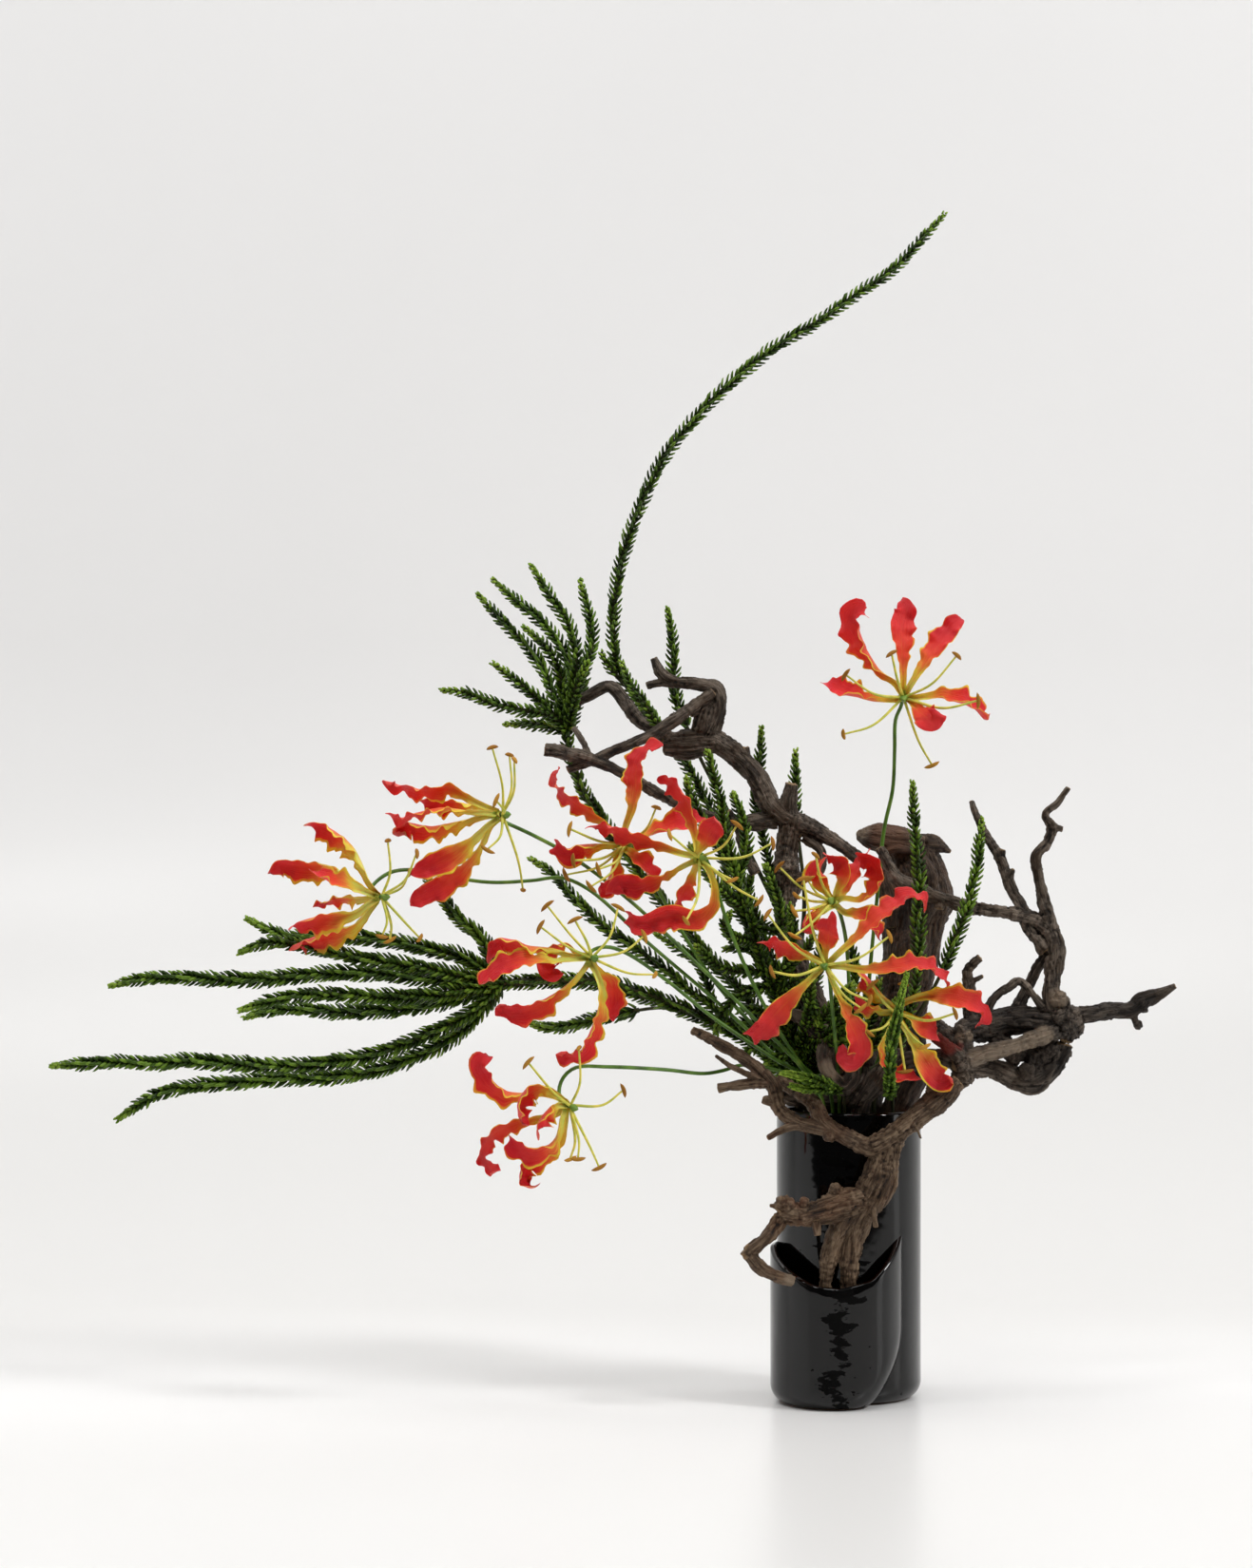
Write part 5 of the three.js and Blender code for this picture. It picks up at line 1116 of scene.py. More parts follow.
# %% [markdown]
# ## The needle-leaved shoots
#
# Each shoot is a slim stem clothed in curved needles, thousands in all. They leave the stem
# in a spiral, two fifths of a turn apart, so that they stand in five rows, which twist
# slowly. They stand off the stem at the base and bend forward to the tip.
# A particle system could scatter them, but a spiral is regular, and the whole shoot can be
# worked out at once: every needle is a row of one array. Each has only ten points.

# %% Needles
NEEDLE_LENGTH, NEEDLE_HALF_WIDTH, NEEDLE_HALF_THICKNESS = 0.0074, 0.0016, 0.0012
LEAF_TURN = np.radians(144)  # two fifths of a turn
ROW_TWIST = 30  # radians that the five rows twist in a metre
BASE_LEAN, TIP_LEAN = 50, 26  # degrees from the stem, at a needle's root and at its tip
TAPER_LENGTH, TAPER_LEAST = 0.1, 0.72  # needles get shorter over a shoot's last 10 cm
NEEDLE_SHARES = np.array([0, 0.4, 0.78, 1.0])  # three rings and a point, along a needle
NEEDLE_POINTS = 10


def needle_faces():
    """The faces of one needle: quads between its rings of three, its tip and its base."""
    ring = np.arange(9).reshape(3, 3)
    after = np.roll(ring, -1, axis=1)
    quads = np.stack([ring[1:], after[1:], after[:-1], ring[:-1]], axis=-1).reshape(-1, 4)
    tips = np.stack([after[2], ring[2], np.full(3, 9)], axis=1)
    return quads, np.concatenate([tips, [[0, 1, 2]]])


def needles(skin, line, run, radius, each_mm, rng, tip_length, begin, end=0.0, size=1.0):
    """Needle k sits a share k of the way along, turned two fifths of a turn k times. At t
    of its length its angle to the stem is a = a0 + (a1 - a0) t, so it has moved outward by
    (cos a0 - cos a) / (a1 - a0) lengths, and forward by (sin a - sin a0) / (a1 - a0). Over
    the tip's length they are young: shorter, and bent forward more."""
    count = int((run[-1] - begin - end) / MM * each_mm)
    where = begin + (run[-1] - begin - end) * (np.arange(count) + 0.5) / count
    where = where + rng.normal(0, 0.0003, count)
    place, forward, side, up = (
        np.stack([np.interp(where, run, rows[:, k]) for k in range(3)], 1)
        for rows in (line, *directions(line)))
    turn = np.arange(count) * LEAF_TURN + ROW_TWIST * where + rng.normal(0, 0.13, count)
    out = about(side, up, turn)
    tangent = np.cross(forward, out)
    young = np.clip(1 - (run[-1] - where) / tip_length, 0, 1)
    slender = TAPER_LEAST + (1 - TAPER_LEAST) * np.clip((run[-1] - where) / TAPER_LENGTH, 0, 1)
    length = NEEDLE_LENGTH * (1 + rng.normal(0, 0.09, count)) * (1 - 0.6 * young) * size
    length = length * slender
    a0 = np.radians(BASE_LEAN + rng.normal(0, 4, count) - 32 * young)
    a1 = np.radians(TIP_LEAN + rng.normal(0, 5, count) - 36 * young)
    angle = a0[:, None] + (a1 - a0)[:, None] * NEEDLE_SHARES
    bend = (a1 - a0)[:, None]
    outward = length[:, None] * (np.cos(a0)[:, None] - np.cos(angle)) / bend
    ahead = length[:, None] * (np.sin(angle) - np.sin(a0)[:, None]) / bend
    root = np.interp(where, run, radius) * 0.85
    rib = (place[:, None] + out[:, None] * (outward + root[:, None])[..., None]
           + forward[:, None] * ahead[..., None])
    face = (out[:, None] * np.cos(angle)[..., None] - forward[:, None] * np.sin(angle)[..., None])
    share = np.array([1.15, 1.0, 0.72])[:, None] * size**0.7
    corners = np.radians([90, 210, 330])
    spread = (np.cos(corners)[:, None] * tangent[:, None, None] * NEEDLE_HALF_WIDTH
              + np.sin(corners)[:, None] * face[:, :3, None] * NEEDLE_HALF_THICKNESS)
    body = rib[:, :3, None] + spread * share[..., None] * (1 - 0.2 * young)[:, None, None, None]
    points = np.concatenate([body.reshape(count, 9, 3), rib[:, 3:]], axis=1)
    quads, triangles = needle_faces()
    step = NEEDLE_POINTS * np.arange(count)[:, None, None]
    skin.take(points, [(quads + step).reshape(-1, 4), (triangles + step).reshape(-1, 3)],
              tone=np.repeat(rng.random(count), NEEDLE_POINTS),
              young=np.repeat(young, NEEDLE_POINTS),
              tip=np.tile(np.repeat(NEEDLE_SHARES, [3, 3, 3, 1]), count))
    return count


print("a needle has", sum(len(faces) for faces in needle_faces()), "faces")

# %% [markdown]
# A spray is one stem that drinks from the vase's water, with bare twigs and with shoots that
# fork from it. The needles of a shoot start on its wood and end at its green tip.

# %% Sprays
STEM_STEP, SHOOT_STEP = 0.003, 0.0025  # metres between rings
NEEDLES_EACH_MM = 1.15
GREEN_TIP = 0.026  # metres of young growth
MOUTH_HEIGHT = 0.222  # metres: below it a stem is bare


def stem(skin, line, radius, round_it=8):
    """Bare wood, in the second finish, with plain marks."""
    skin.grid(tube(line, radius, round_it), finish=1, tone=0.5, young=0.0, tip=0.0)


def root_on(lines, point):
    """The nearest of a stem's points, kept a little in from its ends."""
    places = np.concatenate([line[3:-3] for line in lines])
    return places[np.linalg.norm(places - point, axis=1).argmin()]


def spray(name, form, rng):
    """A spray: its stem from the water up, bare twigs, and shoots that leave the nearest
    wood. Needles clothe the stem too, down to the vase's mouth."""
    skin = Skin()
    each_mm = form.get("each", NEEDLES_EACH_MM)
    knots, radii = routes(form["stem"])[0]
    knots = np.concatenate([at(knots), into_vase(MOUTH[name], STEM_BOTTOM)])
    line, s, run = evenly(knots, STEM_STEP)
    radius = along(radii, s) * MM * 0.8
    stem(skin, line, radius)
    above = line[:, 2] > MOUTH_HEIGHT
    back_run = (run[above].max() - run[above])[::-1]
    total = needles(skin, line[above][::-1], back_run, radius[above][::-1], each_mm, rng,
                    tip_length=1e-6, begin=0.004)
    lines = [line]
    for route, twig_radii in routes(form.get("twigs", "")):
        twig, s, _ = evenly(at(route), STEM_STEP)
        stem(skin, twig, along(twig_radii, s) * MM, round_it=6)
        lines.append(twig)
    for route, _ in routes(form["shoots"]):
        knots = at(route)
        knots[0] = root_on(lines, knots[0])
        shoot, s, run = evenly(knots, SHOOT_STEP)
        radius = 0.0021 - 0.0009 * s**2
        stem(skin, shoot[:-2], radius[:-2], round_it=6)
        total += needles(skin, shoot, run, radius, each_mm, rng, form.get("tip", GREEN_TIP),
                         0.001, 0.0042, form.get("size", 1.0))
    print(name, total, "needles")
    return skin.piece(name + "_needles")


print("shoots are green over their last", GREEN_TIP / MM, "mm")

# %% [markdown]
# Old needles are a deep green, each a little different, with their roots darkened as painted
# shade. The last two or three centimetres of every shoot are this year's growth, and a
# clear yellow green. A thin waxy coat gives each needle its highlight.

# %% Needle green and twig brown
def needle_green():
    """Three greens by tone, patches and tip; a fresh green over them by the young mark; a
    dark one over the root as painted shade."""
    sheet = Sheet("needle green", Specular_IOR_Level=0.2, Coat_Roughness=0.35)
    tone, tip = sheet.number("tone"), sheet.number("tip")
    patch = sheet.speckle(sheet.place(), 60, 2, 0.5)
    shade = tone * 0.55 + patch * 0.45 + tip * 0.12
    colour = sheet.ramp(shade, (0.25, paint("22340a")), (0.55, paint("405a18")),
                        (0.85, paint("70902e")))
    young = sheet.number("young").between(0.0, 0.9)
    fresh = sheet.blend(tone, paint("6c9024"), paint("a4c048"))
    colour = sheet.blend(young * 0.85, colour, fresh)
    # painted shade: each needle is darkened at its root, by the stem
    root = 1 - tip.between(0.0, 0.35)
    sheet.set("Base Color", sheet.blend(root * 0.45, colour, paint("0f1a0a")))
    sheet.set("Roughness", patch * 0.2 + 0.34)
    sheet.set("Coat Weight", tone * 0.05 + 0.01)
    sheet.set("Normal", sheet.bump(sheet.speckle(sheet.place(), 1400, 2), 0.0002, 0.5))
    return sheet.material


def twig_brown():
    """From green to brown by patches and scars."""
    sheet = Sheet("twig brown", Specular_IOR_Level=0.3)
    place = sheet.place()
    patch = sheet.speckle(place, 130, 4, 0.6)
    scars = sheet.speckle(sheet.stretched(place, (1, 1, 0.4)), 700, 3, 0.6)
    sheet.set("Base Color", sheet.ramp(patch * 0.6 + scars * 0.4, (0.3, paint("1d2412")),
                                       (0.55, paint("3a3d20")), (0.8, paint("5d5334"))))
    sheet.set("Roughness", scars * 0.3 + 0.5)
    sheet.set("Normal", sheet.bump(scars, 0.0004, 0.7))
    return sheet.material


green, twig_bark = needle_green(), twig_brown()
print("a needle's green has", len(green.node_tree.nodes), "nodes")

# %% [markdown]
# There are nine sprays. In each, the stem's line is followed by its radii in millimetres, as
# in the driftwood, and every further line is one shoot from its root to its tip. A spray may
# also say how many needles each millimetre bears, how large they are, and how much is young.

# %% The nine sprays
SPRAYS = {
    "foliage_left_fan": {
        "each": 1.4, "size": 1.1,
        "stem": """
        515 1036 32, 560 1032 30, 600 1031 26, 640 1034 22, 670 1044 18, 700 1054 14, 740 1070 8,
        770 1084 4, 803 1104 1, 832 1136 0 | 3.6 4 4 4 4 4 4 3.8 3.6 3.4""",
        "twigs": """
        740 1070 8, 700 1060 -4, 660 1064 -14 | 2 1.4 1.1;""",
        "shoots": """
        520 1028 31, 490 1008 26, 450 998 20, 400 988 12, 340 985 4, 300 984 -2, 254 964 -8;
        516 1033 34, 480 1025 40, 430 1015 48, 380 1008 54, 330 997 58, 285 991 62, 245 1004 66;
        512 1036 31, 450 1029 28, 400 1024 26, 340 1024 24, 290 1029 22, 240 1030 20, 180 1028 20,
        140 1031 20, 110 1039 20;
        514 1040 36, 450 1047 50, 400 1048 60, 340 1046 68, 300 1049 72, 246 1064 76;
        518 1044 32, 470 1053 18, 420 1061 6, 360 1064 -4, 310 1061 -12, 280 1063 -16,
        252 1073 -20;
        524 1040 34, 505 1058 40, 475 1077 46, 440 1092 52, 400 1107 56, 350 1117 58, 300 1121 60,
        250 1119 60, 200 1116 60, 160 1118 60, 120 1117 60, 80 1119 60, 48 1122 60;
        526 1044 32, 495 1075 30, 470 1095 28, 440 1110 27, 400 1124 26, 350 1133 25, 300 1134 24,
        250 1138 24, 200 1143 23, 165 1151 22, 118 1181 22;
        528 1030 28, 505 985 18, 485 968 14, 465 945 10, 438 908 6;
        662 1064 -13, 640 1068 -16, 610 1076 -20, 580 1081 -24, 548 1074 -28;""",
    },
    "foliage_upper_fan": {
        "stem": """
        597 756 -12, 598 785 -12, 605 810 -12, 615 835 -12, 630 857 -12, 645 880 -12, 660 900 -12,
        690 940 -13, 740 1000 -14, 790 1056 -15, 830 1110 -15 | 2.6 2.8 3 3 3 3 3 3 3 3""",
        "shoots": """
        594 762 -14, 585 735 -20, 572 705 -27, 555 680 -34, 535 660 -40, 498 620 -48;
        598 758 -14, 600 720 -18, 595 690 -22, 580 665 -24, 560 645 -26, 535 625 -28, 514 605 -30;
        600 758 -9, 605 710 4, 605 680 8, 597 655 10, 582 632 12, 555 589 14;
        600 754 -6, 607 722 8, 614 704 12, 622 690 14;
        601 762 -13, 609 728 -26, 616 700 -34, 622 680 -38, 622 655 -40, 615 630 -42, 609 604 -44;
        592 760 -10, 570 738 -2, 550 722 4, 530 706 8, 513 694 12;
        594 764 -10, 580 752 0, 550 747 12, 520 740 18, 490 729 22, 458 725 26;
        593 770 -12, 570 763 -18, 545 761 -24, 525 763 -28;
        597 752 -11, 592 725 -6, 586 700 0, 572 678 6, 545 655 8;""",
    },
    "foliage_tall_shoot": {
        "size": 0.88,
        "stem": """
        700 775 -32, 722 805 -32, 752 860 -32, 782 930 -32, 812 1010 -31, 840 1090 -30,
        858 1136 -28 | 1.6 2 2.2 2.4 2.5 2.5 2.5 2.5""",
        "twigs": """
        663 727 -28, 645 706 -22, 632 688 -18 | 1.4 2.2 0.8;""",
        "shoots": """
        648 710 -24, 640 700 -21, 634 690 -18, 629 680 -16;
        708 788 -32, 694 766 4, 676 738 12, 660 712 8, 652 690 0;
        702 779 -32, 685 755 -30, 665 730 -28, 652 705 -24, 646 685 -20, 645 655 -14, 648 620 -8,
        655 585 -2, 668 545 4, 683 510 8, 700 478 12, 725 447 16, 750 420 18, 775 397 20,
        805 372 22, 840 350 24, 870 332 25, 900 310 26, 935 287 28, 960 262 29, 998 220 30;""",
    },
    "foliage_low_shoot": {
        "stem": """
        712 1031 12, 750 1060 12, 790 1092 12, 824 1128 14 | 1.6 2 2.2 2.2 2.2 2.2""",
        "shoots": """
        715 1034 12, 680 1005 8, 650 985 4, 625 965 0, 605 945 -2, 580 918 -4, 552 899 -6;
        750 1058 14, 735 1012 18, 712 996 24, 684 978 28;""",
    },
    "foliage_centre_spray": {
        "stem": """
        768 905 26, 785 960 20, 806 1020 12, 830 1080 5, 848 1130 2 | 2 2.4 2.6 2.8 2.8 2.8""",
        "shoots": """
        769 909 26, 762 875 27, 757 842 28, 750 812 29, 742 784 30;
        774 924 23, 785 890 22, 780 860 20, 768 828 20;
        768 905 27, 745 872 32, 730 845 34, 720 812 36;
        790 975 18, 822 975 30, 818 948 34, 810 925 36, 803 904 38;
        783 952 21, 758 935 34, 742 915 40, 722 884 44;
        796 992 17, 770 985 34, 762 972 42, 772 955 48;
        806 1020 13, 772 1020 26, 750 1012 36, 728 990 42;
        812 1036 11, 778 1046 24, 764 1060 28, 751 1094 30;
        818 1050 9, 840 1034 26, 854 1056 30, 864 1084 33;
        820 1056 9, 829 1010 12, 834 978 12, 830 946 12;
        830 1080 5, 852 1050 -6, 862 1010 -12, 866 970 -14;
        840 1100 4, 822 1074 6, 796 1062 8, 770 1064 10;
        838 1096 4, 866 1080 16, 888 1056 18, 900 1030 16;
        846 1120 2, 878 1096 -6, 906 1064 -10, 918 1030 -12;
        806 1020 12, 794 1000 6, 776 996 0, 756 1000 -6;
        834 1090 5, 812 1094 14, 790 1104 18, 768 1112 20;
        846 1116 3, 830 1108 20, 818 1112 24, 800 1122 26;
        846 1118 3, 862 1108 20, 880 1098 26, 900 1090 28;
        846 1110 4, 866 1070 30, 884 1048 40, 902 1030 42;
        850 1116 4, 880 1080 34, 905 1060 40, 924 1044 42;
        846 1108 2, 850 1070 26, 852 1040 34, 856 1006 38;
        842 1100 4, 872 1096 34, 896 1080 38, 912 1072 40;
        848 1130 2, 826 1126 12, 806 1122 14, 786 1124 12;
        846 1120 0, 824 1108 -6, 806 1090 -8, 790 1070 -8;
        840 1104 0, 836 1072 -10, 846 1040 -14, 848 1004 -16;
        826 1064 6, 812 1040 -8, 800 1012 -12, 790 984 -14;
        800 1000 14, 788 970 4, 786 940 2, 792 912 0;
        812 1036 11, 826 1016 24, 846 1000 28, 858 978 28;
        846 1130 2, 862 1124 -8, 884 1108 -14, 896 1080 -16;
        790 975 18, 772 950 10, 764 925 8, 762 898 8;
        832 1088 5, 804 1078 -4, 778 1076 -8, 752 1080 -8;
        848 1128 0, 880 1096 -12, 896 1050 -16, 898 1005 -18, 890 985 -20;
        848 1128 0, 892 1106 -8, 918 1066 -6, 926 1024 -4;
        848 1124 0, 888 1116 -4, 916 1100 0, 934 1072 4, 944 1046 6;""",
        "each": 1.3, "tip": 0.016,
    },
    "foliage_back_spray": {
        "stem": """
        800 868 -34, 812 920 -40, 826 980 -44, 846 1060 -44, 866 1130 -41 | 1.8 2.2 2.4 2.6 2.6 2.6""",
        "twigs": """
        822 965 -43, 780 880 -50, 738 800 -46, 718 756 -42 | 2 1.8 1.6 1.3;
        838 1030 -44, 846 950 -56, 839 872 -60 | 2 1.6 1.3;""",
        "shoots": """
        719 758 -42, 712 735 -38, 708 705 -36, 708 680 -34, 701 633 -32;
        800 872 -34, 796 848 -32, 797 820 -30, 800 790 -28, 801 758 -26;
        839 874 -60, 836 845 -60, 836 820 -60, 837 783 -60;""",
    },
    "foliage_right_shoots": {
        "stem": """
        968 1004 26, 960 1050 22, 944 1100 16, 928 1140 10 | 1.5 2 2.3 2.4 2.4 2.4""",
        "twigs": """
        996 1012 26, 976 1050 20, 946 1096 16 | 1.4 1.6 1.8;
        940 1110 15, 925 1118 44, 915 1124 52 | 1.2 1.1 1;""",
        "shoots": """
        968 1008 26, 966 960 30, 967 920 32, 963 880 33, 961 850 34, 960 816 35;
        995 1015 26, 1010 975 26, 1020 945 25, 1027 915 24, 1030 885 23, 1034 855 22;""",
    },
    "foliage_tuft_right": {
        "stem": """
        938 1092 92, 936 1118 93, 936 1142 84, 936 1150 60 | 1.3 1.4 1.5 1.5 1.5 1.5""",
        "shoots": """
        939 1090 92, 945 1062 97, 950 1040 100, 956 1018 102;""",
        "each": 2.6, "tip": 0.05, "size": 0.8,
    },
    "foliage_tuft_left": {
        "stem": """
        870 1140 60, 880 1146 52 | 1.3 1.4 1.5 1.5""",
        "shoots": """
        873 1141 58, 856 1136 66, 838 1131 68, 817 1128 70;
        874 1142 58, 862 1144 62, 846 1145 64, 826 1140 64;""",
        "each": 2.6, "tip": 0.035,
    },
}
for name, form in SPRAYS.items():
    finish_piece(spray(name, form, rng), "foliage", [name], green, twig_bark)

# %% [markdown]
# ## The flame lilies
#
# A flame lily has six narrow petals that bend back from a green hub, with crisped, waving
# edges and curled tips. A petal is a grid of two parameters: s runs along its midrib and x
# across it, from -1 to 1. Cloth simulation could crimp it, but the crimp of a real petal is
# regular, a wave that grows towards the edge, so a formula says it better.

# %% A petal's midrib
CREASES = 64  # rows of points along a petal
TIP_CURL = 0.16  # the share of a petal's length that curls
CURL_LEAST, CURL_MOST = 1.0, 3.4  # radians
HUB_RADIUS = 0.0022  # metres
TO_VIEWER = np.array([0, -1.0, 0])


def petal_line(centre, axis, places, rng):
    """The midrib's points and their share of its length. Its last part curls: each step
    there is turned a little further from the viewer, about the blade's own cross line."""
    start = places[0] - centre
    start = unit(start - (start @ axis) * axis)
    knots = np.concatenate([[centre + start * HUB_RADIUS], places])
    _, s, run = evenly(knots, MM)
    line = smooth_line(knots, np.interp(np.linspace(0, run[-1], CREASES), run, s))
    share = np.linspace(0, 1, CREASES)
    forward = unit(np.gradient(line, axis=0))
    facing = TO_VIEWER - (forward @ TO_VIEWER)[:, None] * forward
    size = np.linalg.norm(facing, axis=1, keepdims=True)
    facing = unit(facing + axis * np.clip(0.35 - size, 0, 1) * 2)
    facing = unit(facing - (facing * forward).sum(1, keepdims=True) * forward)
    turn = (np.clip(share / TIP_CURL - 1 / TIP_CURL + 1, 0, 1) ** 1.5
            * rng.choice([-1.0, 1.0], p=[0.7, 0.3])
            * rng.uniform(CURL_LEAST, CURL_MOST))[:, None]
    forward, facing = turned(forward, facing, turn)
    steps = (forward[1:] + forward[:-1]) / 2 * run[-1] / (CREASES - 1)
    curl = np.concatenate([line[:1], line[:1] + np.cumsum(steps, axis=0)])
    keep = int(CREASES * (1 - TIP_CURL))
    line = np.concatenate([line[:keep], curl[keep:] - curl[keep] + line[keep]])
    return line, share, forward, facing, run[-1]


print("a petal curls over its last", f"{TIP_CURL:.0%}")

# %% [markdown]
# Across the midrib the blade is a gutter with a waved edge. It is closed, with a front and
# a back that meet in a thin edge, because a real petal has two sides and so has the part.

# %% The blade
PETAL_HALF_WIDTH, PETAL_RIB, PETAL_EDGE = 0.0093, 0.0005, 0.00022  # metres
PROFILE = [0.26, 0.25, 0.28, 0.38, 0.6, 0.86, 1.0, 1.0, 0.88, 0.66, 0.22]  # width along it
COLUMNS = 9  # points across a petal, on each side
FULL_WIDTH = 26  # picture units: the width of a petal that is seen flat
WAVE_HEIGHT, WAVE_PITCH = 0.0023, (0.0125, 0.0165)  # metres
KEEL, GROOVE = 0.0006, 0.0005  # metres: the rib stands out behind, and is sunk in front


def petal(skin, centre, axis, places, width, gold, rng):
    """A closed blade. At s and x the point is midrib(s) + across x w(s) + facing h, where
    h = gutter w x^2 + wave(s) |x|^2.2, so the edges wave and the midrib lies still. The
    wave is two sines of unlike pitch, whose phases wander. Facing turns from the viewer by
    the roll that narrows the petal's picture."""
    line, share, forward, facing, length = petal_line(centre, axis, places, rng)
    roll = np.arccos(min(1, abs(width) / FULL_WIDTH)) * np.sign(width)
    roll = roll * np.minimum(1, 3 * share)
    roll = (roll + 0.35 * np.sin(share * rng.uniform(3, 6) + rng.uniform(0, 6)))[:, None]
    across, facing = turned(np.cross(forward, facing), facing, roll)
    x = np.sin(np.linspace(-np.pi / 2, np.pi / 2, COLUMNS))
    half = PETAL_HALF_WIDTH * along(PROFILE, share)
    pitch, phase = rng.uniform(*WAVE_PITCH), rng.uniform(0, 6.28, 4)
    drift = np.cumsum(rng.normal(0, 0.16, (2, CREASES)), axis=1)
    turns = 2 * np.pi * length / pitch * share
    waves = [np.sin(turns + phase[k] + drift[k]) + 0.45 * np.sin(1.9 * turns + phase[k + 2])
             for k in (0, 1)]
    grow = (np.clip((share - 0.16) / 0.3, 0, 1) * np.clip((1.02 - share) / 0.16, 0, 1))[:, None]
    side_wave = np.where(x[None] < 0, waves[0][:, None], waves[1][:, None])
    gutter = rng.uniform(0.0, 0.7) + 0.5 * (1 - share[:, None])
    lift = WAVE_HEIGHT * grow * np.abs(x) ** 2.2 * side_wave + gutter * half[:, None] * x**2
    stretch = 1 + 0.08 * grow * side_wave * np.abs(x) ** 3
    sheet = (line[:, None] + across[:, None] * (half[:, None] * x * stretch)[..., None]
             + facing[:, None] * lift[..., None])
    thick = (PETAL_EDGE + (PETAL_RIB - PETAL_EDGE) * (1 - x**2)) * np.ones((CREASES, 1))
    keel = KEEL * np.exp(-(x / 0.12) ** 2) * np.clip(1.2 - share, 0, 1)[:, None]
    groove = GROOVE * np.exp(-(x / 0.1) ** 2) * np.clip(1.3 - share, 0, 1)[:, None]
    front = sheet + facing[:, None] * (thick / 2 - groove)[..., None]
    back = sheet - facing[:, None] * (thick / 2 + keel)[..., None]
    rows = np.concatenate([back[:, ::-1], front], axis=1)
    skin.grid(rows, along=share[:, None], across=np.concatenate([x[::-1], x])[None],
              face=np.repeat([0.0, 1.0], COLUMNS)[None], tone=rng.random(), gold=gold)


def round_hub(axis, count):
    """Directions at right angles to a bloom's axis, all the way round it."""
    side = unit(np.cross(axis, [0.3, 0.2, 1.0]))
    return about(side, np.cross(axis, side), full_turn(count))


COLLAR = np.array([[1.75, 2.8, 3.6, 3.4, 2.4, 1.75],  # millimetres from the axis
                   [-1.5, -1.5, -0.6, 0.6, 1.3, 1.3]]) * MM  # and along it


def collar(skin, centre, axis):
    """The ring that the petals grow from: a small profile carried round the axis."""
    reach, rise = COLLAR
    rows = (centre + reach[:, None, None] * round_hub(axis, 20)
            + (rise[:, None] * axis)[:, None])
    skin.grid(rows, close_ends=False, along=0.0, across=0.0, face=0.0, tone=0.5, gold=0.5)


print("a petal is a grid of", CREASES, "rows of", 2 * COLUMNS, "points")


# %% [markdown]
# The petals are scarlet with a yellow foot and a thin yellow edge that fades towards the
# tip. The colour follows the petal, so it reads the marks along and across and not its
# place in the room. Fine veins run lengthwise. Much light passes through the thin blade,
# so that it glows in its own shade, which subsurface scattering stands for.

# %% Scarlet and yellow
def petal_paint():
    """From yellow to red along the petal, sooner or later by its gold mark; then the rib,
    the yellow edge and the green foot over it, each by its own mask of the marks."""
    sheet = Sheet("petal scarlet", Specular_IOR_Level=0.22, Subsurface_Weight=0.6,
                  Subsurface_Scale=0.0015)
    marks = ("along", "across", "face", "tone", "gold")
    s, x, face, tone, gold = (sheet.number(name) for name in marks)
    cloud = sheet.speckle(sheet.place(), 75, 3, 0.55)
    ribbon = sheet.node("ShaderNodeCombineXYZ", None, {0: s * 4, 1: x * 11, 2: tone * 40})
    veins = sheet.speckle(ribbon, 1.6, 3, 0.6)
    wide = x.maths("ABSOLUTE")
    warm = cloud.between(0.3, 0.7) * 0.6 + tone * 0.4
    red = sheet.blend(warm, paint("cc162c"), paint("f24440"))
    red = sheet.blend(s.between(0.55, 0.95) * 0.45, red, paint("cc1834"))
    pale = sheet.blend(0.65, red, paint("f8685a"))
    red = sheet.blend(face * 0.7 + (veins - 0.35) * 0.7, pale, red)
    turn = s + (veins - 0.5) * 0.3 + (tone - 0.5) * 0.12 - gold * 0.22 - wide * gold * 0.16
    colour = sheet.ramp(turn.between(-0.08, 0.46), (0.0, paint("fff080")),
                        (0.3, paint("ffd850")), (0.56, paint("fb9246")),
                        (0.92, paint("ee5036")))
    ripe = (s + (veins - 0.5) * 0.2 - gold * 0.24).between(0.34, 0.62)
    colour = sheet.blend(ripe, colour, red)
    rib = (1 - wide.between(0.0, 0.11)) * (1 - s.between(0.25, 0.8)) * 0.3
    colour = sheet.blend(rib, colour, paint("ee8a3a"))
    fade = 1 - (s + (tone - 0.5) * 0.3 - gold * 0.2).between(0.42, 0.8)
    edge = (wide + (cloud - 0.5) * 0.14 + gold * 0.1).between(0.88, 0.99)
    yellow = sheet.blend(veins, paint("fab634"), paint("fce04c"))
    colour = sheet.blend(edge * fade, colour, yellow)
    green = (1 - (s + (veins - 0.5) * 0.06).between(0.0, 0.11)) * 0.7
    sheet.set("Base Color", sheet.blend(green, colour, paint("b4c048")))
    sheet.set("Roughness", veins * 0.16 + 0.38)
    sheet.set("Normal", sheet.bump(veins, 0.0012, 0.9))
    return sheet.material


scarlet = petal_paint()
print("the scarlet has", len(scarlet.node_tree.nodes), "nodes")

# %% [markdown]
# Behind the petals comes the stalk, which runs down into the vase's water. In front of them
# stand the green ovary in three lobes, its style, and six long filaments, each with an
# anther that swings across its end.

# %% Stalk, ovary and stamens
OVARY_RADIUS, OVARY_LENGTH = 0.0027, 0.0078  # metres
ANTHER_HALF_LENGTH, ANTHER_RADIUS = 0.0062, 0.0015
STALK_RADIUS = 0.0014
STALK, FILAMENT, ANTHER = 0, 1, 2  # the finishes of a stem


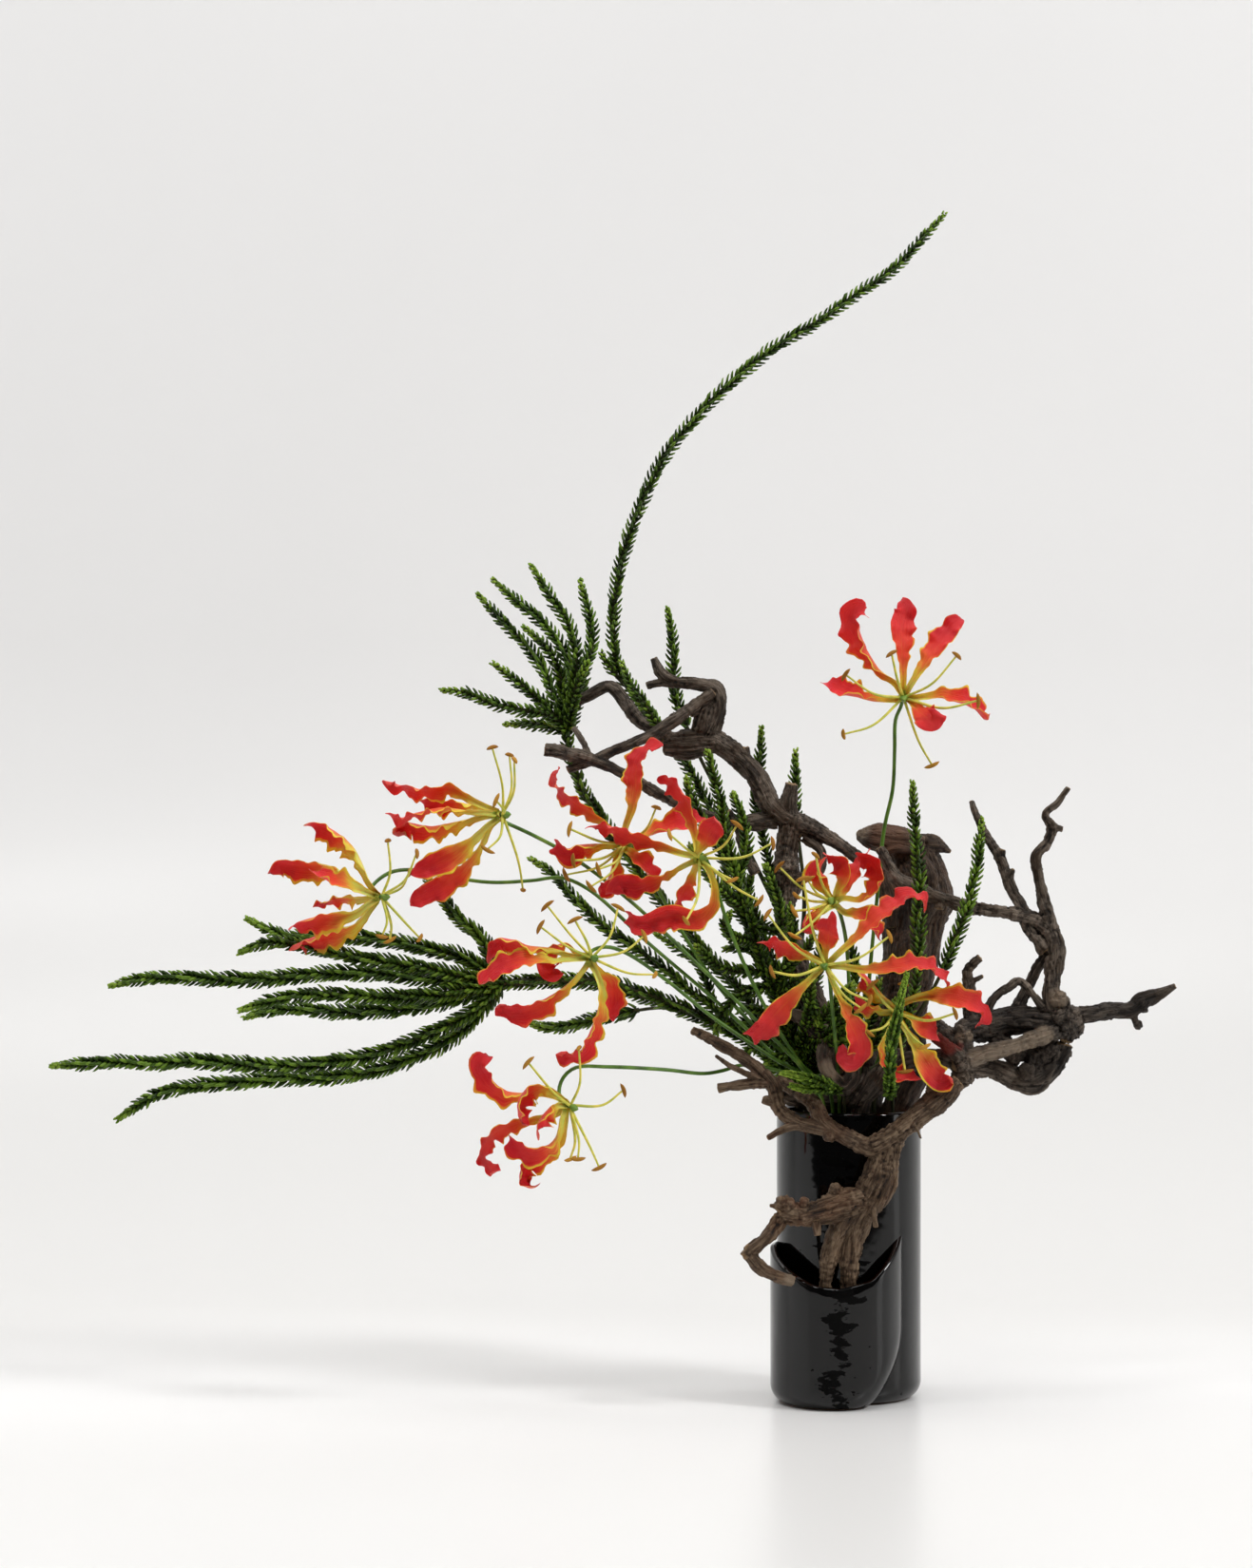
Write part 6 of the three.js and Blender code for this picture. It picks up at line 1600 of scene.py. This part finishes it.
def ovary(skin, centre, axis):
    """Three lobes: the radius is an egg's, times 1 + 0.16 cos 3a round the axis."""
    rise = np.linspace(0.02, 0.98, 12)
    lobes = 1 + 0.16 * np.cos(3 * full_turn(24))
    reach = OVARY_RADIUS * np.sin(np.pi * rise**0.8)[:, None] * lobes
    stand = centre + (HUB_RADIUS + OVARY_LENGTH * rise)[:, None] * axis
    skin.grid(stand[:, None] + reach[..., None] * round_hub(axis, 24), finish=STALK, tone=0.8)


def stamens(skin, centre, axis, hub_depth, places, rng):
    """A filament curves from the hub to its anther through a middle that stands 4 mm out
    along the axis. The anther is a bar across its end, thicker in the middle."""
    for number, (u, v, depth) in enumerate(places):
        end = at([u, v, hub_depth + depth])[0]
        outward = end - centre
        outward = unit(outward - (outward @ axis) * axis)
        foot = centre + axis * 0.0032 + outward * 0.0009
        out = end - foot
        sag = np.array([0, 0, -0.1]) * np.linalg.norm(out)
        middle = foot + out * 0.52 + axis * 0.004 + sag
        line, s, _ = evenly(np.stack([foot, middle, end]), 0.002)
        skin.grid(tube(line, (1.2 - 0.4 * s) * MM, 6), finish=FILAMENT, tone=number / 5)
        lean = rng.uniform(-0.8, 0.8)
        across = unit(np.cross(out, axis))
        third = np.cross(unit(out), across)
        bar = across * np.cos(lean) + third * np.sin(lean)
        t = np.linspace(-1, 1, 9)
        bow = unit(out) * 0.0009 * (1 - t[:, None] ** 2)
        rod = end + bar * (t * ANTHER_HALF_LENGTH)[:, None] + bow
        thick = ANTHER_RADIUS * (1 - 0.9 * np.abs(t) ** 3)
        skin.grid(tube(rod, thick, 8), finish=ANTHER, tone=number / 5)


def stalk(skin, knots):
    """A tube whose radius is uneven by a few hundredths."""
    line, _, _ = evenly(knots, 0.004)
    radius = STALK_RADIUS * (1 + 0.06 * noise(line * 60, 4))
    skin.grid(tube(line, radius, 10), finish=STALK, tone=0.3)


print("an anther is", 2 * ANTHER_HALF_LENGTH / MM, "mm long")

# %% [markdown]
# The stalk is green, the filaments are yellow and the anthers carry brown pollen. All three
# are plain finishes with a soft cloud in them, because nothing that grows is one colour.

# %% Green, yellow and pollen
def plain(name, cloud, tone, colours, roughness, bump=None, **shader):
    """Colours by a soft cloud, with a share of the tone mark mixed in. The roughness is its
    first number plus the cloud times its second; the bump is a height and a strength."""
    sheet = Sheet(name, **shader)
    spots = sheet.speckle(sheet.place(), *cloud)
    shade = spots * (1 - tone) + sheet.number("tone") * tone if tone else spots
    sheet.set("Base Color", sheet.ramp(shade, *((at_value, paint(code))
                                                for at_value, code in colours)))
    sheet.set("Roughness", spots * roughness[1] + roughness[0])
    if bump:
        sheet.set("Normal", sheet.bump(spots, *bump))
    return sheet.material


stem_paints = [
    plain("stalk green", (90, 3, 0.5), 0.3, [(0.3, "3e5c1e"), (0.5, "5c8430"), (0.75, "94b048")],
          (0.3, 0.2), (0.0003, 0.4), Specular_IOR_Level=0.4),
    plain("filament yellow", (160, 2, 0.5), 0, [(0.35, "c2c850"), (0.65, "f0e060")],
          (0.35, 0.2), Specular_IOR_Level=0.4),
    plain("anther pollen", (1500, 3, 0.7), 0.4, [(0, "7c4a22"), (1, "cf9a3c")],
          (0.75, 0.1), (0.0003, 0.8), Specular_IOR_Level=0.2),
]
print(len(stem_paints), "finishes for a stem")

# %% [markdown]
# There are ten blooms. Each has its hub, the way it faces (right, towards the viewer, up),
# its place in the vase's mouth, how far its gold reaches and the line of its stalk. Each
# petal is a line from near the hub, whose depths count from the hub's; after the bar stands
# the width that is seen. The last row holds the ends of the six stamens.

# %% The ten blooms
BLOOMS = [
    {
        "hub": (950, 733, 22), "facing": (0, 1, -0.25), "mouth": (6, 5), "gold": 0.25,
        "stem": """
        948 742 10, 942 757 2, 941 790 -2, 939 830 -5, 930 872 -9, 924 930 -8, 916 1010 -5,
        910 1090 -1""",
        "petals": """
        941 717 4, 925 705 4, 912 685 0, 902 665 -4, 896 650 -6, 903 642 -4, 917 648 0 | 16;
        950 720 4, 949 690 2, 948 660 -4, 952 640 -8, 945 626 -8 | 26;
        958 720 4, 975 695 2, 990 675 -4, 1005 655 -8, 1015 648 -8 | 25;
        940 737 3, 920 737 6, 900 732 6, 885 727 4, 864 713 2 | -17;
        962 734 3, 990 733 6, 1010 738 6, 1025 745 4, 1037 757 2, 1042 752 4 | 12;
        959 740 4, 968 749 13, 980 757 20, 992 748 24 | 24;""",
        "stamens": "938 688 16, 890 710 18, 1006 690 16, 1028 737 20, 888 772 16, 980 804 2",
    },
    {
        "hub": (525, 857, 74), "facing": (1, 0.5, 0.05), "mouth": (-26, 33), "gold": 0.75,
        "stem": """
        520 858 63, 530 864 54, 560 878 51, 600 900 50, 660 945 46, 740 1020 40, 800 1078 36""",
        "petals": """
        505 846 0, 490 838 -2, 475 829 -3, 450 832 -4, 425 828 -6, 408 822 -8, 403 814 -6 | 18;
        508 854 6, 490 853 10, 465 850 12, 440 855 12, 420 861 12, 405 850 12 | 12;
        506 859 -2, 480 865 -12, 450 870 -18, 430 868 -20, 419 876 -20, 424 890 -18 | 18;
        512 868 4, 500 880 6, 475 900 8, 450 912 10, 428 920 12 | 24;
        516 868 -3, 505 890 -10, 490 910 -16, 468 930 -20, 445 942 -20, 425 950 -24 | 22;
        512 850 -8, 490 846 -16, 462 845 -22, 436 846 -26 | 16;""",
        "stamens": "518 787 6, 536 795 -4, 550 935 -4, 513 893 14, 522 842 24, 541 800 14",
    },
    {
        "hub": (398, 943, 84), "facing": (1, 0.5, 0), "mouth": (-31, 24), "gold": 1.0,
        "stem": """
        388 938 74, 396 927 68, 412 917 63, 440 915 53, 490 925 39, 520 928 44, 560 926 42,
        590 923 42, 620 936 38, 680 990 32, 750 1050 26, 800 1096 20""",
        "petals": """
        388 926 4, 380 908 6, 370 890 4, 350 875 2, 330 868 0, 318 875 0 | 18;
        384 934 -4, 365 920 -8, 345 912 -10, 320 912 -12, 295 910 -12, 282 920 -12 | 17;
        384 938 6, 365 932 12, 345 925 14, 325 915 16 | -14;
        386 952 4, 375 960 4, 350 965 4, 325 968 4, 303 976 4 | 20;
        388 958 -6, 375 972 -12, 352 980 -16, 325 988 -18, 300 998 -18 | 14;
        380 946 -4, 360 946 -16, 342 950 -22, 330 956 -26 | 16;""",
        "stamens": "408 885 4, 438 898 20, 402 984 8, 441 986 -6, 410 988 -14, 430 918 -12",
    },
    {
        "hub": (620, 1008, 94), "facing": (0.8, 0.9, 0.1), "mouth": (-21, 22), "gold": 0.55,
        "stem": """
        624 999 82, 640 996 72, 660 1003 62, 700 1030 48, 750 1070 42, 812 1112 36""",
        "petals": """
        608 1002 -2, 595 992 -4, 580 1000 -4, 574 1014 -2, 580 1024 2, 592 1022 4 | 16;
        604 1004 2, 580 998 4, 555 995 4, 540 990 4, 525 990 2, 516 1003 0, 520 1018 0 | 14;
        604 1010 6, 580 1012 12, 555 1011 14, 530 1017 16, 512 1030 16, 507 1042 14 | -14;
        610 1022 2, 598 1035 2, 580 1048 0, 560 1060 -2, 535 1062 -4, 520 1050 -6 | 16;
        627 1022 2, 632 1040 4, 630 1062 4, 622 1085 2, 612 1106 0, 598 1110 2, 582 1098 4 | 20;
        625 1018 -6, 638 1036 -12, 640 1056 -16, 635 1076 -18 | 18;""",
        "stamens": "569 975 10, 576 953 0, 605 968 12, 650 955 -4, 677 985 6, 688 1025 8",
    },
    {
        "hub": (596, 1162, 95), "facing": (1, 0.5, -0.35), "mouth": (-24, 36), "gold": 0.45,
        "stem": """
        588 1149 90, 592 1134 86, 605 1123 84, 640 1122 80, 700 1125 66, 740 1129 50, 760 1126 40,
        785 1120 35""",
        "petals": """
        584 1152 0, 570 1148 0, 545 1150 -2, 525 1145 -4, 510 1130 -4, 505 1119 -2, 517 1110 2
        | 19;
        587 1152 7, 572 1143 13, 556 1145 14, 546 1160 14, 546 1174 12, 554 1187 10 | 16;
        586 1162 8, 574 1170 14, 567 1182 16, 566 1194 14 | 18;
        584 1172 -4, 560 1178 -8, 535 1185 -10, 516 1196 -12, 507 1214 -12, 515 1230 -10,
        533 1234 -6 | 18;
        590 1176 4, 584 1198 6, 566 1210 6, 545 1207 4, 531 1194 2 | 17;
        594 1180 -4, 588 1200 -8, 570 1216 -10, 552 1226 -12, 548 1240 -12, 558 1249 -10,
        570 1243 -8 | 18;""",
        "stamens": "655 1147 2, 630 1227 4, 608 1218 12, 556 1118 22, 609 1103 8, 600 1218 -10",
    },
    {
        "hub": (733, 903, 84), "facing": (0.9, 0.8, 0.1), "mouth": (-16, 30), "gold": 0.3,
        "stem": """
        738 898 70, 748 915 56, 765 970 50, 800 1050 40, 845 1122 32""",
        "petals": """
        732 885 0, 728 862 -2, 720 840 -4, 705 822 -6, 690 816 -8 | 20;
        718 898 -2, 690 887 -6, 660 877 -8, 635 869 -10, 612 872 -10 | 18;
        718 910 2, 700 920 2, 672 930 0, 652 930 0, 640 947 2 | 21;
        730 916 -6, 722 932 -14, 712 950 -20, 704 966 -24 | 18;
        740 890 8, 746 876 18, 754 868 24, 760 862 30 | 24;
        742 912 6, 750 932 8, 748 952 8, 732 965 8, 704 962 8, 675 970 8, 652 958 8 | 22;""",
        "stamens": "812 887 10, 798 947 6, 775 868 20, 770 925 24, 722 968 30, 705 878 26",
    },
    {
        "hub": (655, 888, 62), "facing": (0.9, 0.8, 0.1), "mouth": (-19, 12), "gold": 0.35,
        "stem": """
        660 886 48, 675 905 36, 700 950 28, 750 1030 22, 806 1092 16""",
        "petals": """
        658 870 0, 665 850 0, 668 828 -2, 670 805 -4, 680 788 -4, 702 787 -2 | 20;
        646 876 -2, 630 862 -4, 605 845 -6, 590 833 -8, 583 820 -8, 590 805 -6 | 14;
        640 888 2, 615 889 4, 595 895 4, 580 885 4 | 20;
        668 884 -6, 690 876 -12, 715 868 -16, 742 858 -18 | 16;
        649 902 2, 644 916 4, 638 930 4, 625 936 4 | 20;
        664 898 8, 674 908 10, 682 918 8, 684 930 4 | 18;""",
        "stamens": "596 920 10, 604 905 18, 622 932 24, 630 914 26, 690 850 12, 600 872 14",
    },
    {
        "hub": (868, 1015, 84), "facing": (-0.15, 1, -0.1), "mouth": (-9, 31), "gold": 0.35,
        "stem": """
        872 1024 70, 875 1056 52, 880 1110 36""",
        "petals": """
        869 1000 2, 871 988 9, 873 974 17, 873 960 22 | 20;
        852 1006 3, 835 1000 6, 815 991 4, 796 994 2 | 20;
        884 1016 3, 910 1020 4, 940 1018 2, 970 1015 -4, 990 1025 -8, 1003 1042 -10 | 18;
        880 1004 2, 903 985 0, 925 965 -2, 942 953 -4, 957 943 -4, 970 946 -2, 973 960 0 | 15;
        856 1027 3, 840 1042 6, 820 1062 6, 800 1084 4, 780 1096 2 | 26;
        873 1028 4, 882 1050 8, 894 1075 8, 903 1098 6, 899 1116 6, 888 1111 8, 885 1099 10 | 20;""",
        "stamens": "813 1022 16, 808 962 14, 845 925 12, 935 985 14, 914 1052 20, 905 1060 8",
    },
    {
        "hub": (877, 950, 46), "facing": (-0.5, 0.8, 0.4), "mouth": (3, 22.5), "gold": 0.4,
        "stem": """
        884 962 38, 890 990 32, 894 1060 28, 896 1120 26""",
        "petals": """
        870 938 2, 866 926 6, 862 914 10, 868 902 12 | 18;
        880 938 2, 888 924 2, 884 908 -2, 866 898 -6 | 18;
        886 946 2, 905 948 2, 920 938 0, 926 920 -2, 916 904 -2, 898 900 0 | 20;
        866 956 6, 852 962 10, 845 974 14, 852 986 16 | 20;
        888 960 -2, 904 964 -4, 918 976 -8, 926 990 -10 | 16;
        884 942 -6, 896 926 -12, 905 908 -16, 914 893 -18 | 18;""",
        "stamens": "820 912 10, 838 942 16, 858 900 24, 850 926 26, 836 958 18, 836 984 34",
    },
    {
        "hub": (942, 1065, 60), "facing": (0.1, 1, -0.1), "mouth": (11, 26), "gold": 0.8,
        "stem": """
        936 1072 48, 930 1095 36, 918 1130 28""",
        "petals": """
        932 1064 2, 920 1060 4, 908 1056 4, 896 1052 2 | 20;
        935 1055 2, 924 1042 4, 914 1030 4, 904 1020 2 | 16;
        950 1056 2, 970 1049 4, 998 1050 4, 1018 1056 4, 1034 1068 4, 1027 1080 6 | 20;
        952 1068 2, 966 1078 4, 978 1084 4, 990 1090 2 | 18;
        948 1077 4, 962 1100 8, 976 1122 10, 991 1138 10, 1008 1129 10 | 23;
        937 1080 4, 926 1102 8, 930 1120 10, 945 1133 12, 974 1131 12 | 20;""",
        "stamens": "952 1126 18, 1004 1066 24, 950 1036 4, 914 1085 18, 918 1036 16, 972 1100 22",
    },
]
print(len(BLOOMS), "blooms,", sum(len(routes(bloom["petals"])) for bloom in BLOOMS), "petals")

# %% [markdown]
# Each bloom becomes two pieces, as in the CAD model: its petals, and its stem with the
# ovary and the stamens.

# %% Petals and stems
for number, bloom in enumerate(BLOOMS, 1):
    centre = at(bloom["hub"])[0]
    depth = bloom["hub"][2]
    axis = unit(np.array(bloom["facing"]) * [1, -1, 1])
    petals = Skin()
    collar(petals, centre, axis)
    for places, width in routes(bloom["petals"]):
        petal(petals, centre, axis, at(places + [0, 0, depth]), width[0], bloom["gold"], rng)
    finish_piece(petals.piece(f"bloom_{number}_scarlet"), "petals",
                 [f"bloom_{number}_petals"], scarlet)
    parts = Skin()
    route = np.concatenate([into_vase(bloom["mouth"], STEM_BOTTOM)[::-1],
                            at(numbers(bloom["stem"]))[::-1],
                            [centre - axis * 0.003, centre, centre + axis * 0.004]])
    stalk(parts, route)
    ovary(parts, centre, axis)
    stamens(parts, centre, axis, depth, numbers(bloom["stamens"]).reshape(-1, 3), rng)
    finish_piece(parts.piece(f"bloom_{number}_stalk"), "stems",
                 [f"bloom_{number}_stem"], *stem_paints)

# %% [markdown]
# ## The water
#
# Water fills the cylinder, and each stem has its hole in it. The solid is already right,
# so it stays, and only gets the look of water that stems have stood in.

# %% Water
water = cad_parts["water"]
water.data.materials.clear()
water.data.materials.append(
    plain("still water", (40, 3, 0.5), 0, [(0.3, "8f9a86"), (0.7, "c2cbbd")], (0.02, 0.05),
          IOR=1.333, Alpha=0.45))
print("the water keeps its solid of", len(water.data.polygons), "faces")
